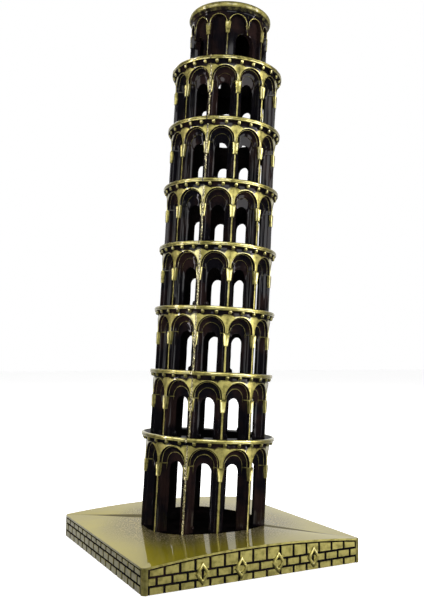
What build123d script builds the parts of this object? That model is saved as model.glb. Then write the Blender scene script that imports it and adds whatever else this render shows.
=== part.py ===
"""Miniature leaning bell tower on a square brick plinth.

A souvenir built from two identical half-shell castings that are soldered along two
opposite columns, pinned together, and screwed down onto a hollow cast plinth with a
pad under it. Millimetres, +Z up. The origin is the centre of the pad's underside.
The tower leans towards +X; the ornamented face of the plinth is the -Y face.
"""

import os
from math import cos, radians, sin

from build123d import *

os.makedirs("parts", exist_ok=True)

# ---- plinth -------------------------------------------------------------------
BASE_SIDE = 95.0            # length of each side
BASE_BOTTOM = 0.5           # plinth rim above the table, the pad stands proud of it
CORNER_TOP = 9.9            # height of the top edge at the corners
ARCH_TOP = 12.6             # height of the arched front and back edges at mid-length
APEX = 13.4                 # height where the four top faces would meet
CORNER_ROUND = 1.85
CASTING_WALL = 4.5
CEILING = 7.3               # underside of the top plate
CELLS = 4                   # rows and columns of cells under the plate
RIB_THICKNESS = 2.5
CELL = (BASE_SIDE - 2 * CASTING_WALL - (CELLS - 1) * RIB_THICKNESS) / CELLS

COURSE_TOPS = (3.4, 6.6)    # middles of the two level mortar grooves
GROOVE_WIDTH = 0.6
GROOVE_DEPTH = 0.5
POST_WIDTH = 2.3            # plain strip at each corner
BRICKS_PER_COURSE = 15
EDGE_BAND = 0.7             # plain band left under the top edge
ORNAMENT_PITCH = 16.2
ORNAMENT_SIZE = (5.8, 8.2)  # width and height of one lozenge
ORNAMENT_STROKE = 1.1
ORNAMENT_HEIGHT = 0.5

# ---- pad ----------------------------------------------------------------------
PAD_SIDE = 90.0
PAD_THICKNESS = 1.5
PAD_FIT = 0.2               # gap around the pad in its rabbet

# ---- tower --------------------------------------------------------------------
LEAN = 3.0                  # degrees from upright
FOOT_LEVEL = 11.5           # height where the tower's own vertical scale starts
BAYS = 12                   # arches around each storey
BAY = 360.0 / BAYS
WALL = 4.4                  # thickness of the arcade wall
WALL_FOOT = -1.0            # lowest level of the columns, inside the foot disc
STOREY_PITCH = 27.0
FIRST_LIP = 37.2            # mid-height of the first ring lip
WALL_RADII = [26.9, 25.3, 24.9, 24.5, 24.1, 23.7, 23.3]
FIRST_LIP_RADIUS = 29.1
LIP_OVERHANG = 1.8
LIP_HEIGHT = 1.7
BRACKET_ZONE = 1.95         # dark cove between an arcade and its lip
BRACKETS = 28               # small consoles under each lip
BRACKET_SIZE = (1.5, 1.4)   # width and height of one console
SPANDREL = 0.6              # wall left above an arch crown
STILT = 1.2                 # straight part between capital and arch
CAPITAL_HEIGHT = 5.6
CAPITAL_WIDTH = 2.9
CAPITAL_FOOT = 1.3
CAPITAL_PROUD = 0.5
NICHE_STEPS = [(0.45, 1.5), (0.35, 2.9)]    # half-width as a share of the bay, and depth
WINDOW = (0.26, 7.0)        # the same for the opening through the wall
WINDOW_RISE = 0.6           # window crowns above the capitals' tops
SILL_DROP = 0.5             # the lowest arches run this far into the foot disc

# ---- belfry -------------------------------------------------------------------
BELFRY_RADIUS = 17.35
BELFRY_RECESS = 1.9
BELFRY_WALL = 2.2           # wall behind the blind arcade
BELFRY_SPRINGING = 218.2
BELFRY_ARCH = 0.43          # half-width / bay
DOOR_HALF_WIDTH = 4.2
DOOR_SPRINGING = 210.6
RIM_RADIUS = 18.8
RIM_TOP = 227.5
RIM_HEIGHT = 2.4
ROOF_TOP = 225.6
ROOF_THICKNESS = 1.8
TERRACE_THICKNESS = 2.4

# ---- foot and fixings -----------------------------------------------------------
FOOT_RADIUS = 27.2          # a little over the leaning wall, which ends inside the disc
POCKET_RADIUS = 27.5
POCKET_FLOOR = 9.8
FOOT_TOP = 12.4
BOSS_RADIUS = 3.6
BOSS_HEIGHT = 3.4
SCREW_SPOTS = [(CELL / 2 + RIB_THICKNESS / 2, -CELL / 2 - RIB_THICKNESS / 2),
               (-CELL / 2 - RIB_THICKNESS / 2, CELL / 2 + RIB_THICKNESS / 2)]
SCREW_RADIUS = 1.5
SCREW_LENGTH = 8.0
SCREW_HEAD = (2.8, 1.9)     # radius and height
THREAD_GAP = 0.04
HOLE_RADIUS = 1.7
WASHER = (3.5, 0.6)         # radius and thickness
PIN_RADIUS = 0.75
PIN_LENGTH = 6.0
PIN_GAP = 0.02
PINNED_RINGS = [0, 3, 6]
SOLDER_HEIGHT = 0.35
SOLDER_WIDTH = 1.0

FRONT_TURN = -135.0         # turns the upright half to the front right of the plinth
BACK_TURN = 45.0
HALF_ANGLES = [15.0 + BAY * k for k in range(6)]      # bay centres of one half
COLUMN_ANGLES = [BAY * k for k in range(7)]           # columns, the outer two are halved
BELFRY_BAYS = [BAY * k for k in range(7)]
BELFRY_COLUMNS = [15.0, 75.0, 105.0, 165.0]
DOOR_ANGLES = [45.0, 135.0]
BRACKET_ANGLES = [180.0 / (BRACKETS / 2) * (k + 0.5) for k in range(BRACKETS // 2)]
CAPITAL_OUTLINE = [
    (-CAPITAL_WIDTH / 2, CAPITAL_HEIGHT / 2),
    (CAPITAL_WIDTH / 2, CAPITAL_HEIGHT / 2),
    (CAPITAL_WIDTH / 2, CAPITAL_HEIGHT / 2 - 1.2),
    (CAPITAL_FOOT / 2, -CAPITAL_HEIGHT / 2),
    (-CAPITAL_FOOT / 2, -CAPITAL_HEIGHT / 2),
    (-CAPITAL_WIDTH / 2, CAPITAL_HEIGHT / 2 - 1.2),
]


def lip_level(ring):
    """Mid-height of a ring lip above the foot level."""
    return FIRST_LIP + STOREY_PITCH * ring


def lip_radius(ring):
    """Outer radius of a ring lip."""
    return FIRST_LIP_RADIUS if ring == 0 else WALL_RADII[ring] + LIP_OVERHANG


def floor_level(storey):
    """Lowest level of a storey's columns: inside the foot, or the top of the lip below."""
    return WALL_FOOT if storey == 0 else lip_level(storey - 1) + LIP_HEIGHT / 2


def sill_level(storey):
    """Where a storey's arches start."""
    return floor_level(storey) - (SILL_DROP if storey == 0 else 0)


def crown_level(storey):
    """Top of a storey's outer arches."""
    return lip_level(storey) - LIP_HEIGHT / 2 - BRACKET_ZONE - SPANDREL


def bay_width(radius):
    """Chord of one bay at this radius."""
    return 2 * radius * sin(radians(BAY / 2))


def springing_level(storey):
    """Level of the capitals' tops."""
    return crown_level(storey) - NICHE_STEPS[0][0] * bay_width(WALL_RADII[storey]) - STILT


def pin_radius_at(ring):
    """Distance of a register pin from the tower's axis: the middle of the wall."""
    return WALL_RADII[ring] - WALL / 2


def pin_level(ring):
    """Height of a register pin: in the solid ring between the arches and the lip."""
    return lip_level(ring) - 1.2


def facing(radius, angle):
    """Upright plane touching the cylinder at this angle: x sideways, y up, z outward."""
    a = radians(angle)
    return Plane(
        origin=(radius * cos(a), radius * sin(a), 0),
        x_dir=(-sin(a), cos(a), 0),
        z_dir=(cos(a), sin(a), 0),
    )


def wall_outline():
    """Half-section of the shell, (radius, level) points, from the foot up the outside."""
    outside = [(WALL_RADII[0], WALL_FOOT)]
    for ring, wall in enumerate(WALL_RADII):
        level = lip_level(ring)
        lip = lip_radius(ring)
        outside += [
            (wall, level - LIP_HEIGHT / 2 - BRACKET_ZONE),
            (wall + 0.3, level - LIP_HEIGHT / 2 - 0.3),
            (lip - 0.45, level - LIP_HEIGHT / 2),
            (lip, level - LIP_HEIGHT / 2 + 0.35),
            (lip, level + LIP_HEIGHT / 2 - 0.35),
            (lip - 0.4, level + LIP_HEIGHT / 2),
        ]
        above = WALL_RADII[ring + 1] if ring + 1 < len(WALL_RADII) else BELFRY_RADIUS
        outside.append((above, level + LIP_HEIGHT / 2))
    outside += [
        (BELFRY_RADIUS, RIM_TOP - RIM_HEIGHT - 1.6),
        (BELFRY_RADIUS - 0.4, RIM_TOP - RIM_HEIGHT - 1.2),
        (BELFRY_RADIUS + 0.2, RIM_TOP - RIM_HEIGHT - 0.4),
        (RIM_RADIUS - 0.5, RIM_TOP - RIM_HEIGHT),
        (RIM_RADIUS, RIM_TOP - RIM_HEIGHT + 0.6),
        (RIM_RADIUS, RIM_TOP - 0.6),
        (RIM_RADIUS - 0.6, RIM_TOP),
        (RIM_RADIUS - 2.2, RIM_TOP),
        (RIM_RADIUS - 2.4, ROOF_TOP),
        (0, ROOF_TOP),
    ]
    terrace = lip_level(len(WALL_RADII) - 1) + LIP_HEIGHT / 2
    belfry_bore = BELFRY_RADIUS - BELFRY_RECESS - BELFRY_WALL
    inside = [
        (0, ROOF_TOP - ROOF_THICKNESS),
        (belfry_bore, ROOF_TOP - ROOF_THICKNESS),
        (belfry_bore, terrace - TERRACE_THICKNESS),
        (WALL_RADII[-1] - WALL, terrace - TERRACE_THICKNESS),
        (WALL_RADII[1] - WALL, floor_level(1)),
        (WALL_RADII[0] - WALL, floor_level(1) - LIP_HEIGHT),
        (WALL_RADII[0] - WALL, WALL_FOOT),
    ]
    return outside + inside


def arch_profile(half_width, springing, sill):
    """Round-headed opening in the current sketch: a slot with a square foot."""
    with Locations((0, springing)):
        Circle(half_width)
    with Locations((0, (springing + sill) / 2)):
        Rectangle(2 * half_width, springing - sill)


# ---- one upright half of the tower ------------------------------------------------
with BuildPart() as upright_half:
    with BuildSketch(Plane.XZ) as section:
        with BuildLine():
            Polyline(wall_outline(), close=True)
        make_face()
    revolve(axis=Axis.Z, revolution_arc=180)

    for storey, wall in enumerate(WALL_RADII):
        bay = bay_width(wall)
        springing = crown_level(storey) - NICHE_STEPS[0][0] * bay
        window_springing = springing_level(storey) + WINDOW_RISE - WINDOW[0] * bay
        arches = [(fraction, depth, springing) for fraction, depth in NICHE_STEPS]
        for fraction, depth, level in arches + [(*WINDOW, window_springing)]:
            with BuildSketch(*[facing(wall, angle) for angle in HALF_ANGLES]):
                arch_profile(fraction * bay, level, sill_level(storey))
            extrude(amount=-depth, mode=Mode.SUBTRACT)

    for storey, wall in enumerate(WALL_RADII):
        top = springing_level(storey)
        with BuildSketch(*[facing(wall + CAPITAL_PROUD, angle) for angle in COLUMN_ANGLES]):
            with Locations((0, top - CAPITAL_HEIGHT / 2)):
                Polygon(*CAPITAL_OUTLINE, align=None)
        extrude(amount=-CAPITAL_PROUD - 1.6)

    for ring in range(len(WALL_RADII)):
        bracket_top = lip_level(ring) - LIP_HEIGHT / 2 + 0.2
        face = lip_radius(ring) - 0.5
        with BuildSketch(*[facing(face, angle) for angle in BRACKET_ANGLES]):
            with Locations((0, bracket_top - BRACKET_SIZE[1] / 2)):
                Rectangle(*BRACKET_SIZE)
        extrude(amount=-1.8)

    terrace = floor_level(len(WALL_RADII))
    belfry_arch = BELFRY_ARCH * bay_width(BELFRY_RADIUS)
    with BuildSketch(*[facing(BELFRY_RADIUS, angle) for angle in BELFRY_BAYS]):
        arch_profile(belfry_arch, BELFRY_SPRINGING, terrace)
    extrude(amount=-BELFRY_RECESS, mode=Mode.SUBTRACT)
    with BuildSketch(*[facing(BELFRY_RADIUS + CAPITAL_PROUD, angle) for angle in BELFRY_COLUMNS]):
        with Locations((0, BELFRY_SPRINGING - CAPITAL_HEIGHT / 2)):
            Polygon(*CAPITAL_OUTLINE, align=None)
    extrude(amount=-CAPITAL_PROUD - 1.4)
    with BuildSketch(*[facing(BELFRY_RADIUS + 1, angle) for angle in DOOR_ANGLES]):
        arch_profile(DOOR_HALF_WIDTH, DOOR_SPRINGING, terrace)
    extrude(amount=-8, mode=Mode.SUBTRACT)

    split(bisect_by=Plane.XZ, keep=Keep.BOTTOM)

    for side in (-1, 1):
        with BuildSketch(Plane.XZ):
            for ring in PINNED_RINGS:
                with Locations((side * pin_radius_at(ring), pin_level(ring))):
                    Circle(PIN_RADIUS + PIN_GAP)
        extrude(amount=PIN_LENGTH / 2 + 0.2, both=True, mode=Mode.SUBTRACT)


def placed(piece, turn):
    """Turn an upright piece about the tower's axis, then lean it and set it on its foot."""
    return Location((0, 0, FOOT_LEVEL), (0, LEAN, 0)) * Rot(0, 0, turn) * piece


# ---- tower shells -----------------------------------------------------------------
def tower_shell(turn, spot):
    """One leaning half with its level half-disc foot and the screw boss on it."""
    parting = Plane(Location((0, 0, FOOT_LEVEL), (0, LEAN, 0)) * Rot(0, 0, turn) * Plane.XZ.location)
    bottom = (Align.CENTER, Align.CENTER, Align.MIN)
    with BuildPart() as shell:
        with Locations((0, 0, POCKET_FLOOR)):
            Cylinder(FOOT_RADIUS, FOOT_TOP - POCKET_FLOOR, align=bottom)
        with Locations((*spot, FOOT_TOP)):
            Cylinder(BOSS_RADIUS, BOSS_HEIGHT, align=bottom)
        split(bisect_by=parting, keep=Keep.BOTTOM)
        add(placed(upright_half.part, turn))
        with Locations((*spot, POCKET_FLOOR)):
            Cylinder(SCREW_RADIUS + THREAD_GAP, SCREW_LENGTH - 2.6, align=bottom, mode=Mode.SUBTRACT)
        split(bisect_by=Plane.XY.offset(POCKET_FLOOR), keep=Keep.TOP)
    return shell.part


tower_shell_front = tower_shell(FRONT_TURN, SCREW_SPOTS[0])
tower_shell_front.label = "tower_shell_front"
export_step(tower_shell_front, "parts/tower_shell_front.step")

tower_shell_back = tower_shell(BACK_TURN, SCREW_SPOTS[1])
tower_shell_back.label = "tower_shell_back"
export_step(tower_shell_back, "parts/tower_shell_back.step")

# ---- register pins across the parting plane -----------------------------------------
with BuildPart() as upright_pins:
    with BuildSketch(Plane.XZ):
        for ring in PINNED_RINGS:
            with Locations((-pin_radius_at(ring), pin_level(ring)), (pin_radius_at(ring), pin_level(ring))):
                Circle(PIN_RADIUS)
    extrude(amount=PIN_LENGTH / 2, both=True)
dowel_pins = placed(upright_pins.part, FRONT_TURN)
dowel_pins.label = "dowel_pins"
export_step(dowel_pins, "parts/dowel_pins.step")


# ---- solder along the two seam columns ------------------------------------------------
def solder_seam(angle):
    """Beads on one seam: one up each storey's column and one over each ring lip."""
    with BuildPart() as seam:
        for storey, wall in enumerate(WALL_RADII):
            column = (wall, floor_level(storey) + 2.6, springing_level(storey) - CAPITAL_HEIGHT)
            lip = (lip_radius(storey), lip_level(storey) - 0.5, lip_level(storey) + 0.5)
            for radius, low, high in (column, lip):
                with BuildSketch(Plane.XY.offset(low)):
                    Circle(radius + SOLDER_HEIGHT)
                    Circle(radius, mode=Mode.SUBTRACT)
                    with PolarLocations(radius, 1, start_angle=angle):
                        Rectangle(4, SOLDER_WIDTH, mode=Mode.INTERSECT)
                extrude(amount=high - low)
    return placed(seam.part, FRONT_TURN)


solder_seam_left = solder_seam(0)
solder_seam_left.label = "solder_seam_left"
export_step(solder_seam_left, "parts/solder_seam_left.step")

solder_seam_right = solder_seam(180)
solder_seam_right.label = "solder_seam_right"
export_step(solder_seam_right, "parts/solder_seam_right.step")


# ---- plinth -----------------------------------------------------------------------
def edge_level(x, arched):
    """Height of a side's top edge at this distance from the side's middle."""
    rise = ARCH_TOP - CORNER_TOP if arched else 0.0
    return CORNER_TOP + rise * (1 - (2 * x / BASE_SIDE) ** 2)


def edge_line(half, shift, arched):
    """The top edge, lowered by shift, between -half and half of a side."""
    ends = edge_level(half, arched) - shift
    if arched:
        ThreePointArc((-half, ends), (0, ARCH_TOP - shift), (half, ends))
    else:
        Line((-half, ends), (half, ends))


def top_cutter(angle, arched):
    """The space above one top face: a cone from the apex out past the side."""
    past = 1.1
    reach = past * BASE_SIDE / 2
    corner = APEX - past * (APEX - CORNER_TOP)
    middle = APEX - past * (APEX - ARCH_TOP)
    with BuildSketch(facing(reach, angle)) as opening:
        with BuildLine():
            if arched:
                ThreePointArc((-reach, corner), (0, middle), (reach, corner))
            else:
                Line((-reach, corner), (reach, corner))
            Polyline((reach, corner), (reach, APEX + 4), (-reach, APEX + 4), (-reach, corner))
        make_face()
    with BuildPart() as cutter:
        loft(sections=[opening.sketch.face(), Vertex(0, 0, APEX)], ruled=True)
    return cutter.part


SIDES = [(-90, True), (0, False), (90, True), (180, False)]     # angle, arched edge

with BuildPart() as base_plinth:
    with BuildSketch(Plane.XY.offset(BASE_BOTTOM)):
        RectangleRounded(BASE_SIDE, BASE_SIDE, CORNER_ROUND)
    extrude(amount=APEX - BASE_BOTTOM - 0.05)
    for angle, arched in SIDES:
        add(top_cutter(angle, arched), mode=Mode.SUBTRACT)

    run = BASE_SIDE / 2 - POST_WIDTH
    brick = 2 * run / BRICKS_PER_COURSE
    for angle, arched in SIDES:
        with BuildSketch(facing(BASE_SIDE / 2, angle)):
            for level in COURSE_TOPS:
                with Locations((0, level)):
                    Rectangle(2 * run, GROOVE_WIDTH)
            for joint in range(BRICKS_PER_COURSE + 1):
                x = -run + joint * brick
                low, high = COURSE_TOPS[1], edge_level(x, arched) - EDGE_BAND - 0.3
                with Locations((x, (BASE_BOTTOM + COURSE_TOPS[0]) / 2)):
                    Rectangle(GROOVE_WIDTH, COURSE_TOPS[0] - BASE_BOTTOM)
                with Locations((x, (low + high) / 2)):
                    Rectangle(GROOVE_WIDTH, high - low)
                if joint < BRICKS_PER_COURSE:
                    with Locations((x + brick / 2, sum(COURSE_TOPS) / 2)):
                        Rectangle(GROOVE_WIDTH, COURSE_TOPS[1] - COURSE_TOPS[0])
        extrude(amount=-GROOVE_DEPTH, mode=Mode.SUBTRACT)
        with BuildSketch(facing(BASE_SIDE / 2, angle)):
            with BuildLine():
                upper = EDGE_BAND
                lower = EDGE_BAND + GROOVE_WIDTH
                edge_line(run, upper, arched)
                edge_line(run, lower, arched)
                for x in (-run, run):
                    Line((x, edge_level(x, arched) - upper), (x, edge_level(x, arched) - lower))
            make_face()
        extrude(amount=-GROOVE_DEPTH, mode=Mode.SUBTRACT)

    ornament_level = BASE_BOTTOM + 4.9
    with BuildSketch(facing(BASE_SIDE / 2 - GROOVE_DEPTH, -90)):
        with Locations(*[((k - 1.5) * ORNAMENT_PITCH, ornament_level) for k in range(4)]):
            half_width, half_height = ORNAMENT_SIZE[0] / 2, ORNAMENT_SIZE[1] / 2
            Polygon((half_width, 0), (0, half_height), (-half_width, 0), (0, -half_height), align=None)
            inner = 1 - ORNAMENT_STROKE / half_width
            Polygon(
                (half_width * inner, 0),
                (0, half_height * inner),
                (-half_width * inner, 0),
                (0, -half_height * inner),
                align=None,
                mode=Mode.SUBTRACT,
            )
    extrude(amount=GROOVE_DEPTH + ORNAMENT_HEIGHT)

    with Locations((0, 0, POCKET_FLOOR)):
        Cylinder(POCKET_RADIUS, APEX, align=(Align.CENTER, Align.CENTER, Align.MIN), mode=Mode.SUBTRACT)
    with BuildSketch(Plane.XY.offset(BASE_BOTTOM)):
        Rectangle(PAD_SIDE + 2 * PAD_FIT, PAD_SIDE + 2 * PAD_FIT)
    extrude(amount=PAD_THICKNESS - BASE_BOTTOM, mode=Mode.SUBTRACT)
    with BuildSketch(Plane.XY.offset(PAD_THICKNESS)):
        with GridLocations(CELL + RIB_THICKNESS, CELL + RIB_THICKNESS, CELLS, CELLS):
            RectangleRounded(CELL, CELL, 1.5)
    extrude(amount=CEILING - PAD_THICKNESS, mode=Mode.SUBTRACT)
    with BuildSketch(Plane.XY.offset(CEILING)):
        with Locations(*SCREW_SPOTS):
            Circle(HOLE_RADIUS)
    extrude(amount=POCKET_FLOOR - CEILING, mode=Mode.SUBTRACT)
base_plinth.part.label = "base_plinth"
export_step(base_plinth.part, "parts/base_plinth.step")

# ---- pad under the plinth ----------------------------------------------------------
with BuildPart() as base_pad:
    with BuildSketch():
        RectangleRounded(PAD_SIDE, PAD_SIDE, CORNER_ROUND)
    extrude(amount=PAD_THICKNESS)
base_pad.part.label = "base_pad"
export_step(base_pad.part, "parts/base_pad.step")

# ---- screws and washers ------------------------------------------------------------
with BuildPart() as screw_washers:
    with BuildSketch(Plane.XY.offset(CEILING - WASHER[1])):
        with Locations(*SCREW_SPOTS):
            Circle(WASHER[0])
            Circle(HOLE_RADIUS, mode=Mode.SUBTRACT)
    extrude(amount=WASHER[1])
screw_washers.part.label = "screw_washers"
export_step(screw_washers.part, "parts/screw_washers.step")

seat = CEILING - WASHER[1]
with BuildPart() as base_screws:
    with BuildSketch(Plane.XY.offset(seat - SCREW_HEAD[1])):
        with Locations(*SCREW_SPOTS):
            Circle(SCREW_HEAD[0])
    extrude(amount=SCREW_HEAD[1])
    with BuildSketch(Plane.XY.offset(seat)):
        with Locations(*SCREW_SPOTS):
            Circle(SCREW_RADIUS)
    extrude(amount=SCREW_LENGTH)
    with BuildSketch(Plane.XY.offset(seat - SCREW_HEAD[1])):
        with Locations(*SCREW_SPOTS):
            Rectangle(3.2, 0.8)
            Rectangle(0.8, 3.2)
    extrude(amount=1.1, mode=Mode.SUBTRACT)
base_screws.part.label = "base_screws"
export_step(base_screws.part, "parts/base_screws.step")
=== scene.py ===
"""Looks of a miniature leaning bell tower on a brick plinth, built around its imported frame.

The tower is two soldered half-shell castings in antique brass under clear lacquer, standing
on a square brick-patterned plinth. Shapes are worked out in millimetres and handed over in
metres. The tower's own height scale starts at its foot level and leans with it.
"""

import logging
import math
import random
from dataclasses import dataclass, field
from enum import Enum
from typing import Iterable, Sequence

import bmesh
import bpy
from mathutils import Matrix, Vector, noise


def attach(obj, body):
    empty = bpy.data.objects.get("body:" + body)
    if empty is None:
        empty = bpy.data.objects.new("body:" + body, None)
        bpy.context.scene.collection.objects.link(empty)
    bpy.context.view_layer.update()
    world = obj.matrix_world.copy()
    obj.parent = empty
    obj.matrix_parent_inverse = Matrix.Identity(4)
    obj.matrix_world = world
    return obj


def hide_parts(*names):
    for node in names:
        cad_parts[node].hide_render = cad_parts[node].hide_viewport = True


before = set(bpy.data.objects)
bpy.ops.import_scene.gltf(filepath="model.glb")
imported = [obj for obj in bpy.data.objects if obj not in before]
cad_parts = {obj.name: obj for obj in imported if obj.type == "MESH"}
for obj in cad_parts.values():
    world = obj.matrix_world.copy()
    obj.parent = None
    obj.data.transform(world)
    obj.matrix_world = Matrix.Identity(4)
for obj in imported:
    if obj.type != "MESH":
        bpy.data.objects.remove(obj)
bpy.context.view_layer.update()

LOG = logging.getLogger("bell_tower")
MM = 0.001
LUMP_SEED = 7
POLISH = "polish"
SIDE_WALL = "side_wall"
Colour = tuple[float, float, float]
Point = tuple[float, float]


class Wear(Enum):
    """How far the plating on a surface is rubbed back to bright brass; on a few outlines deep in the arcade
    recesses it also paints highlights.
    """

    HIDDEN = 0.0
    SHADED = 0.16
    RUBBED = 0.42
    WORN = 0.6
    EDGE = 0.8
    BRIGHT = 1.0


class Half(Enum):
    """The two castings of the tower: piece name, CAD node and turn about the axis."""

    FRONT = ("tower_half_front", "tower_shell_front", -135.0)
    BACK = ("tower_half_back", "tower_shell_back", 45.0)


# ---- shared mesh work ----------------------------------------------------------------------


def new_sheet() -> bmesh.types.BMesh:
    """Start an empty mesh that carries a wear value on each point.

    Returns:
        The mesh, with its wear layer and its layer of side-wall marks.
    """
    bm = bmesh.new()
    bm.verts.layers.float.new(POLISH)
    bm.faces.layers.int.new(SIDE_WALL)
    return bm


def rub(bm: bmesh.types.BMesh, verts: Iterable[bmesh.types.BMVert], wear: Wear) -> None:
    """Give these points one wear value.

    Args:
        bm: The mesh they are in.
        verts: The points.
        wear: How bright they are rubbed.
    """
    layer = bm.verts.layers.float[POLISH]
    for vert in verts:
        vert[layer] = wear.value


def points_of(geom: Iterable) -> list[bmesh.types.BMVert]:
    """Return the points in an operator's result."""
    return [item for item in geom if isinstance(item, bmesh.types.BMVert)]


def faces_of(geom: Iterable) -> list[bmesh.types.BMFace]:
    """Return the faces in an operator's result."""
    return [item for item in geom if isinstance(item, bmesh.types.BMFace)]


def push_chain(bm: bmesh.types.BMesh, edges: list) -> tuple[list, list]:
    """Extrude a chain of edges without moving it.

    Args:
        bm: The mesh.
        edges: The chain.

    Returns:
        The new points and the new chain.
    """
    geom = bmesh.ops.extrude_edge_only(bm, edges=edges)["geom"]
    verts = points_of(geom)
    fresh = set(verts)
    chain = [
        item
        for item in geom
        if isinstance(item, bmesh.types.BMEdge) and all(v in fresh for v in item.verts)
    ]
    return verts, chain


def wrap(verts: Iterable[bmesh.types.BMVert], radius: float, centre: float) -> None:
    """Bend flat-laid points round the tower's upright axis.

    Args:
        verts: Points with x along the wall, y outwards from its face and z up.
        radius: Radius of the wall's face.
        centre: Angle in degrees where x is zero.
    """
    for vert in verts:
        angle = math.radians(centre) + vert.co.x / radius
        reach = radius + vert.co.y
        vert.co = (reach * math.cos(angle), reach * math.sin(angle), vert.co.z)


def copy_of(bm: bmesh.types.BMesh, geom: list) -> tuple[list, list]:
    """Duplicate a pattern.

    Args:
        bm: The mesh.
        geom: Points, edges and faces of the pattern.

    Returns:
        The copy's points and faces.
    """
    made = bmesh.ops.duplicate(bm, geom=geom)["geom"]
    return points_of(made), faces_of(made)


def everything(verts: Iterable[bmesh.types.BMVert]) -> list:
    """Return points with all their edges and faces."""
    verts = list(verts)
    edges = {edge for vert in verts for edge in vert.link_edges}
    faces = {face for vert in verts for face in vert.link_faces}
    return [*verts, *sorted(edges, key=lambda e: e.index), *sorted(faces, key=lambda f: f.index)]


def spin_profile(
    bm: bmesh.types.BMesh,
    profile: Sequence[tuple[float, float, Wear]],
    steps: int,
    arc: float = math.pi,
) -> list[bmesh.types.BMVert]:
    """Turn a closed section round the upright axis and cap its two ends.

    Args:
        bm: The mesh to add to.
        profile: Radius, level and wear of each corner, in order.
        steps: Segments in the turn.
        arc: Angle of the turn in radians, less than a whole one.

    Returns:
        The points made.
    """
    known = set(bm.verts)
    ring = []
    for radius, level, wear in profile:
        vert = bm.verts.new((radius, 0.0, level))
        rub(bm, [vert], wear)
        ring.append(vert)
    edges = [bm.edges.new((a, b)) for a, b in zip(ring, ring[1:] + ring[:1])]
    bmesh.ops.spin(bm, geom=ring + edges, cent=(0, 0, 0), axis=(0, 0, 1), angle=arc, steps=steps)
    made = [vert for vert in bm.verts if vert not in known]
    ends = {e for v in made for e in v.link_edges if e.is_boundary}
    bmesh.ops.holes_fill(bm, edges=list(ends), sides=0)
    return made


def cut_and_cap(bm: bmesh.types.BMesh, geom: list, point: Sequence[float], away: Sequence[float]) -> list:
    """Cut geometry with a plane, drop what lies beyond it and close the cut.

    Args:
        bm: The mesh.
        geom: Points, edges and faces to cut.
        point: A point on the plane.
        away: Direction of the side that goes.

    Returns:
        The points and edges of the cut.
    """
    cut = bmesh.ops.bisect_plane(bm, geom=geom, plane_co=point, plane_no=away, clear_outer=True)["geom_cut"]
    edges = [item for item in cut if isinstance(item, bmesh.types.BMEdge)]
    bmesh.ops.holes_fill(bm, edges=edges, sides=0)
    return cut


def round_edges(
    bm: bmesh.types.BMesh, edges: Iterable, offset: float, segments: int, clamp: bool = False
) -> None:
    """Bevel edges.

    Args:
        bm: The mesh.
        edges: The edges.
        offset: How far the bevel reaches from each edge.
        segments: Steps in it.
        clamp: Whether neighbouring bevels are kept from overlapping.
    """
    bmesh.ops.bevel(
        bm,
        geom=list(edges),
        offset=offset,
        segments=segments,
        profile=0.5,
        affect="EDGES",
        material=-1,
        clamp_overlap=clamp,
    )


def add_block(bm: bmesh.types.BMesh, centre: Sequence[float], size: Sequence[float]) -> list:
    """Add a box.

    Args:
        bm: The mesh.
        centre: Its middle.
        size: Its width, depth and height.

    Returns:
        Its points.
    """
    place = Matrix.Translation(centre) @ Matrix.Diagonal((*size, 1))
    return bmesh.ops.create_cube(bm, size=1, matrix=place)["verts"]


def roughen(verts: Iterable[bmesh.types.BMVert], pitch: float, size: float, seed: float) -> None:
    """Move points a little, as an uneven casting does.

    Args:
        verts: The points.
        pitch: Distance between lumps.
        size: Largest move.
        seed: Moves the pattern of lumps.
    """
    offset = Vector((seed, seed * 1.7, seed * 0.3))
    for vert in verts:
        vert.co += noise.noise_vector(vert.co / pitch + offset) * size


def finish_piece(
    bm: bmesh.types.BMesh,
    name: str,
    finishes: Sequence[bpy.types.Material],
    nodes: Sequence[str],
    crease: float = 32.0,
) -> bpy.types.Object:
    """Close up a mesh, turn it into a piece in metres and give it to the frame.

    Args:
        bm: The mesh in millimetres, which is used up.
        name: The piece's name.
        finishes: Materials, in the order of the faces' material numbers.
        nodes: CAD nodes that the piece stands for.
        crease: Angle in degrees above which an edge stays sharp.

    Returns:
        The finished object.
    """
    bmesh.ops.remove_doubles(bm, verts=bm.verts, dist=0.002)
    bmesh.ops.dissolve_degenerate(bm, edges=bm.edges, dist=0.001)
    bmesh.ops.recalc_face_normals(bm, faces=bm.faces)
    for face in bm.faces:
        face.smooth = True
    for edge in bm.edges:
        edge.smooth = edge.calc_face_angle(0.0) < math.radians(crease)
    bmesh.ops.scale(bm, vec=(MM, MM, MM), verts=bm.verts)
    mesh = bpy.data.meshes.new(name)
    bm.to_mesh(mesh)
    bm.free()
    piece = bpy.data.objects.new(name, mesh)
    bpy.context.scene.collection.objects.link(piece)
    for finish in finishes:
        mesh.materials.append(finish)
    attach(piece, "root")
    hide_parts(*nodes)
    mesh.calc_loop_triangles()
    LOG.info("%s: %d triangles, stands for %s", name, len(mesh.loop_triangles), ", ".join(nodes))
    return piece


# ---- finishes ------------------------------------------------------------------------------


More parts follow.
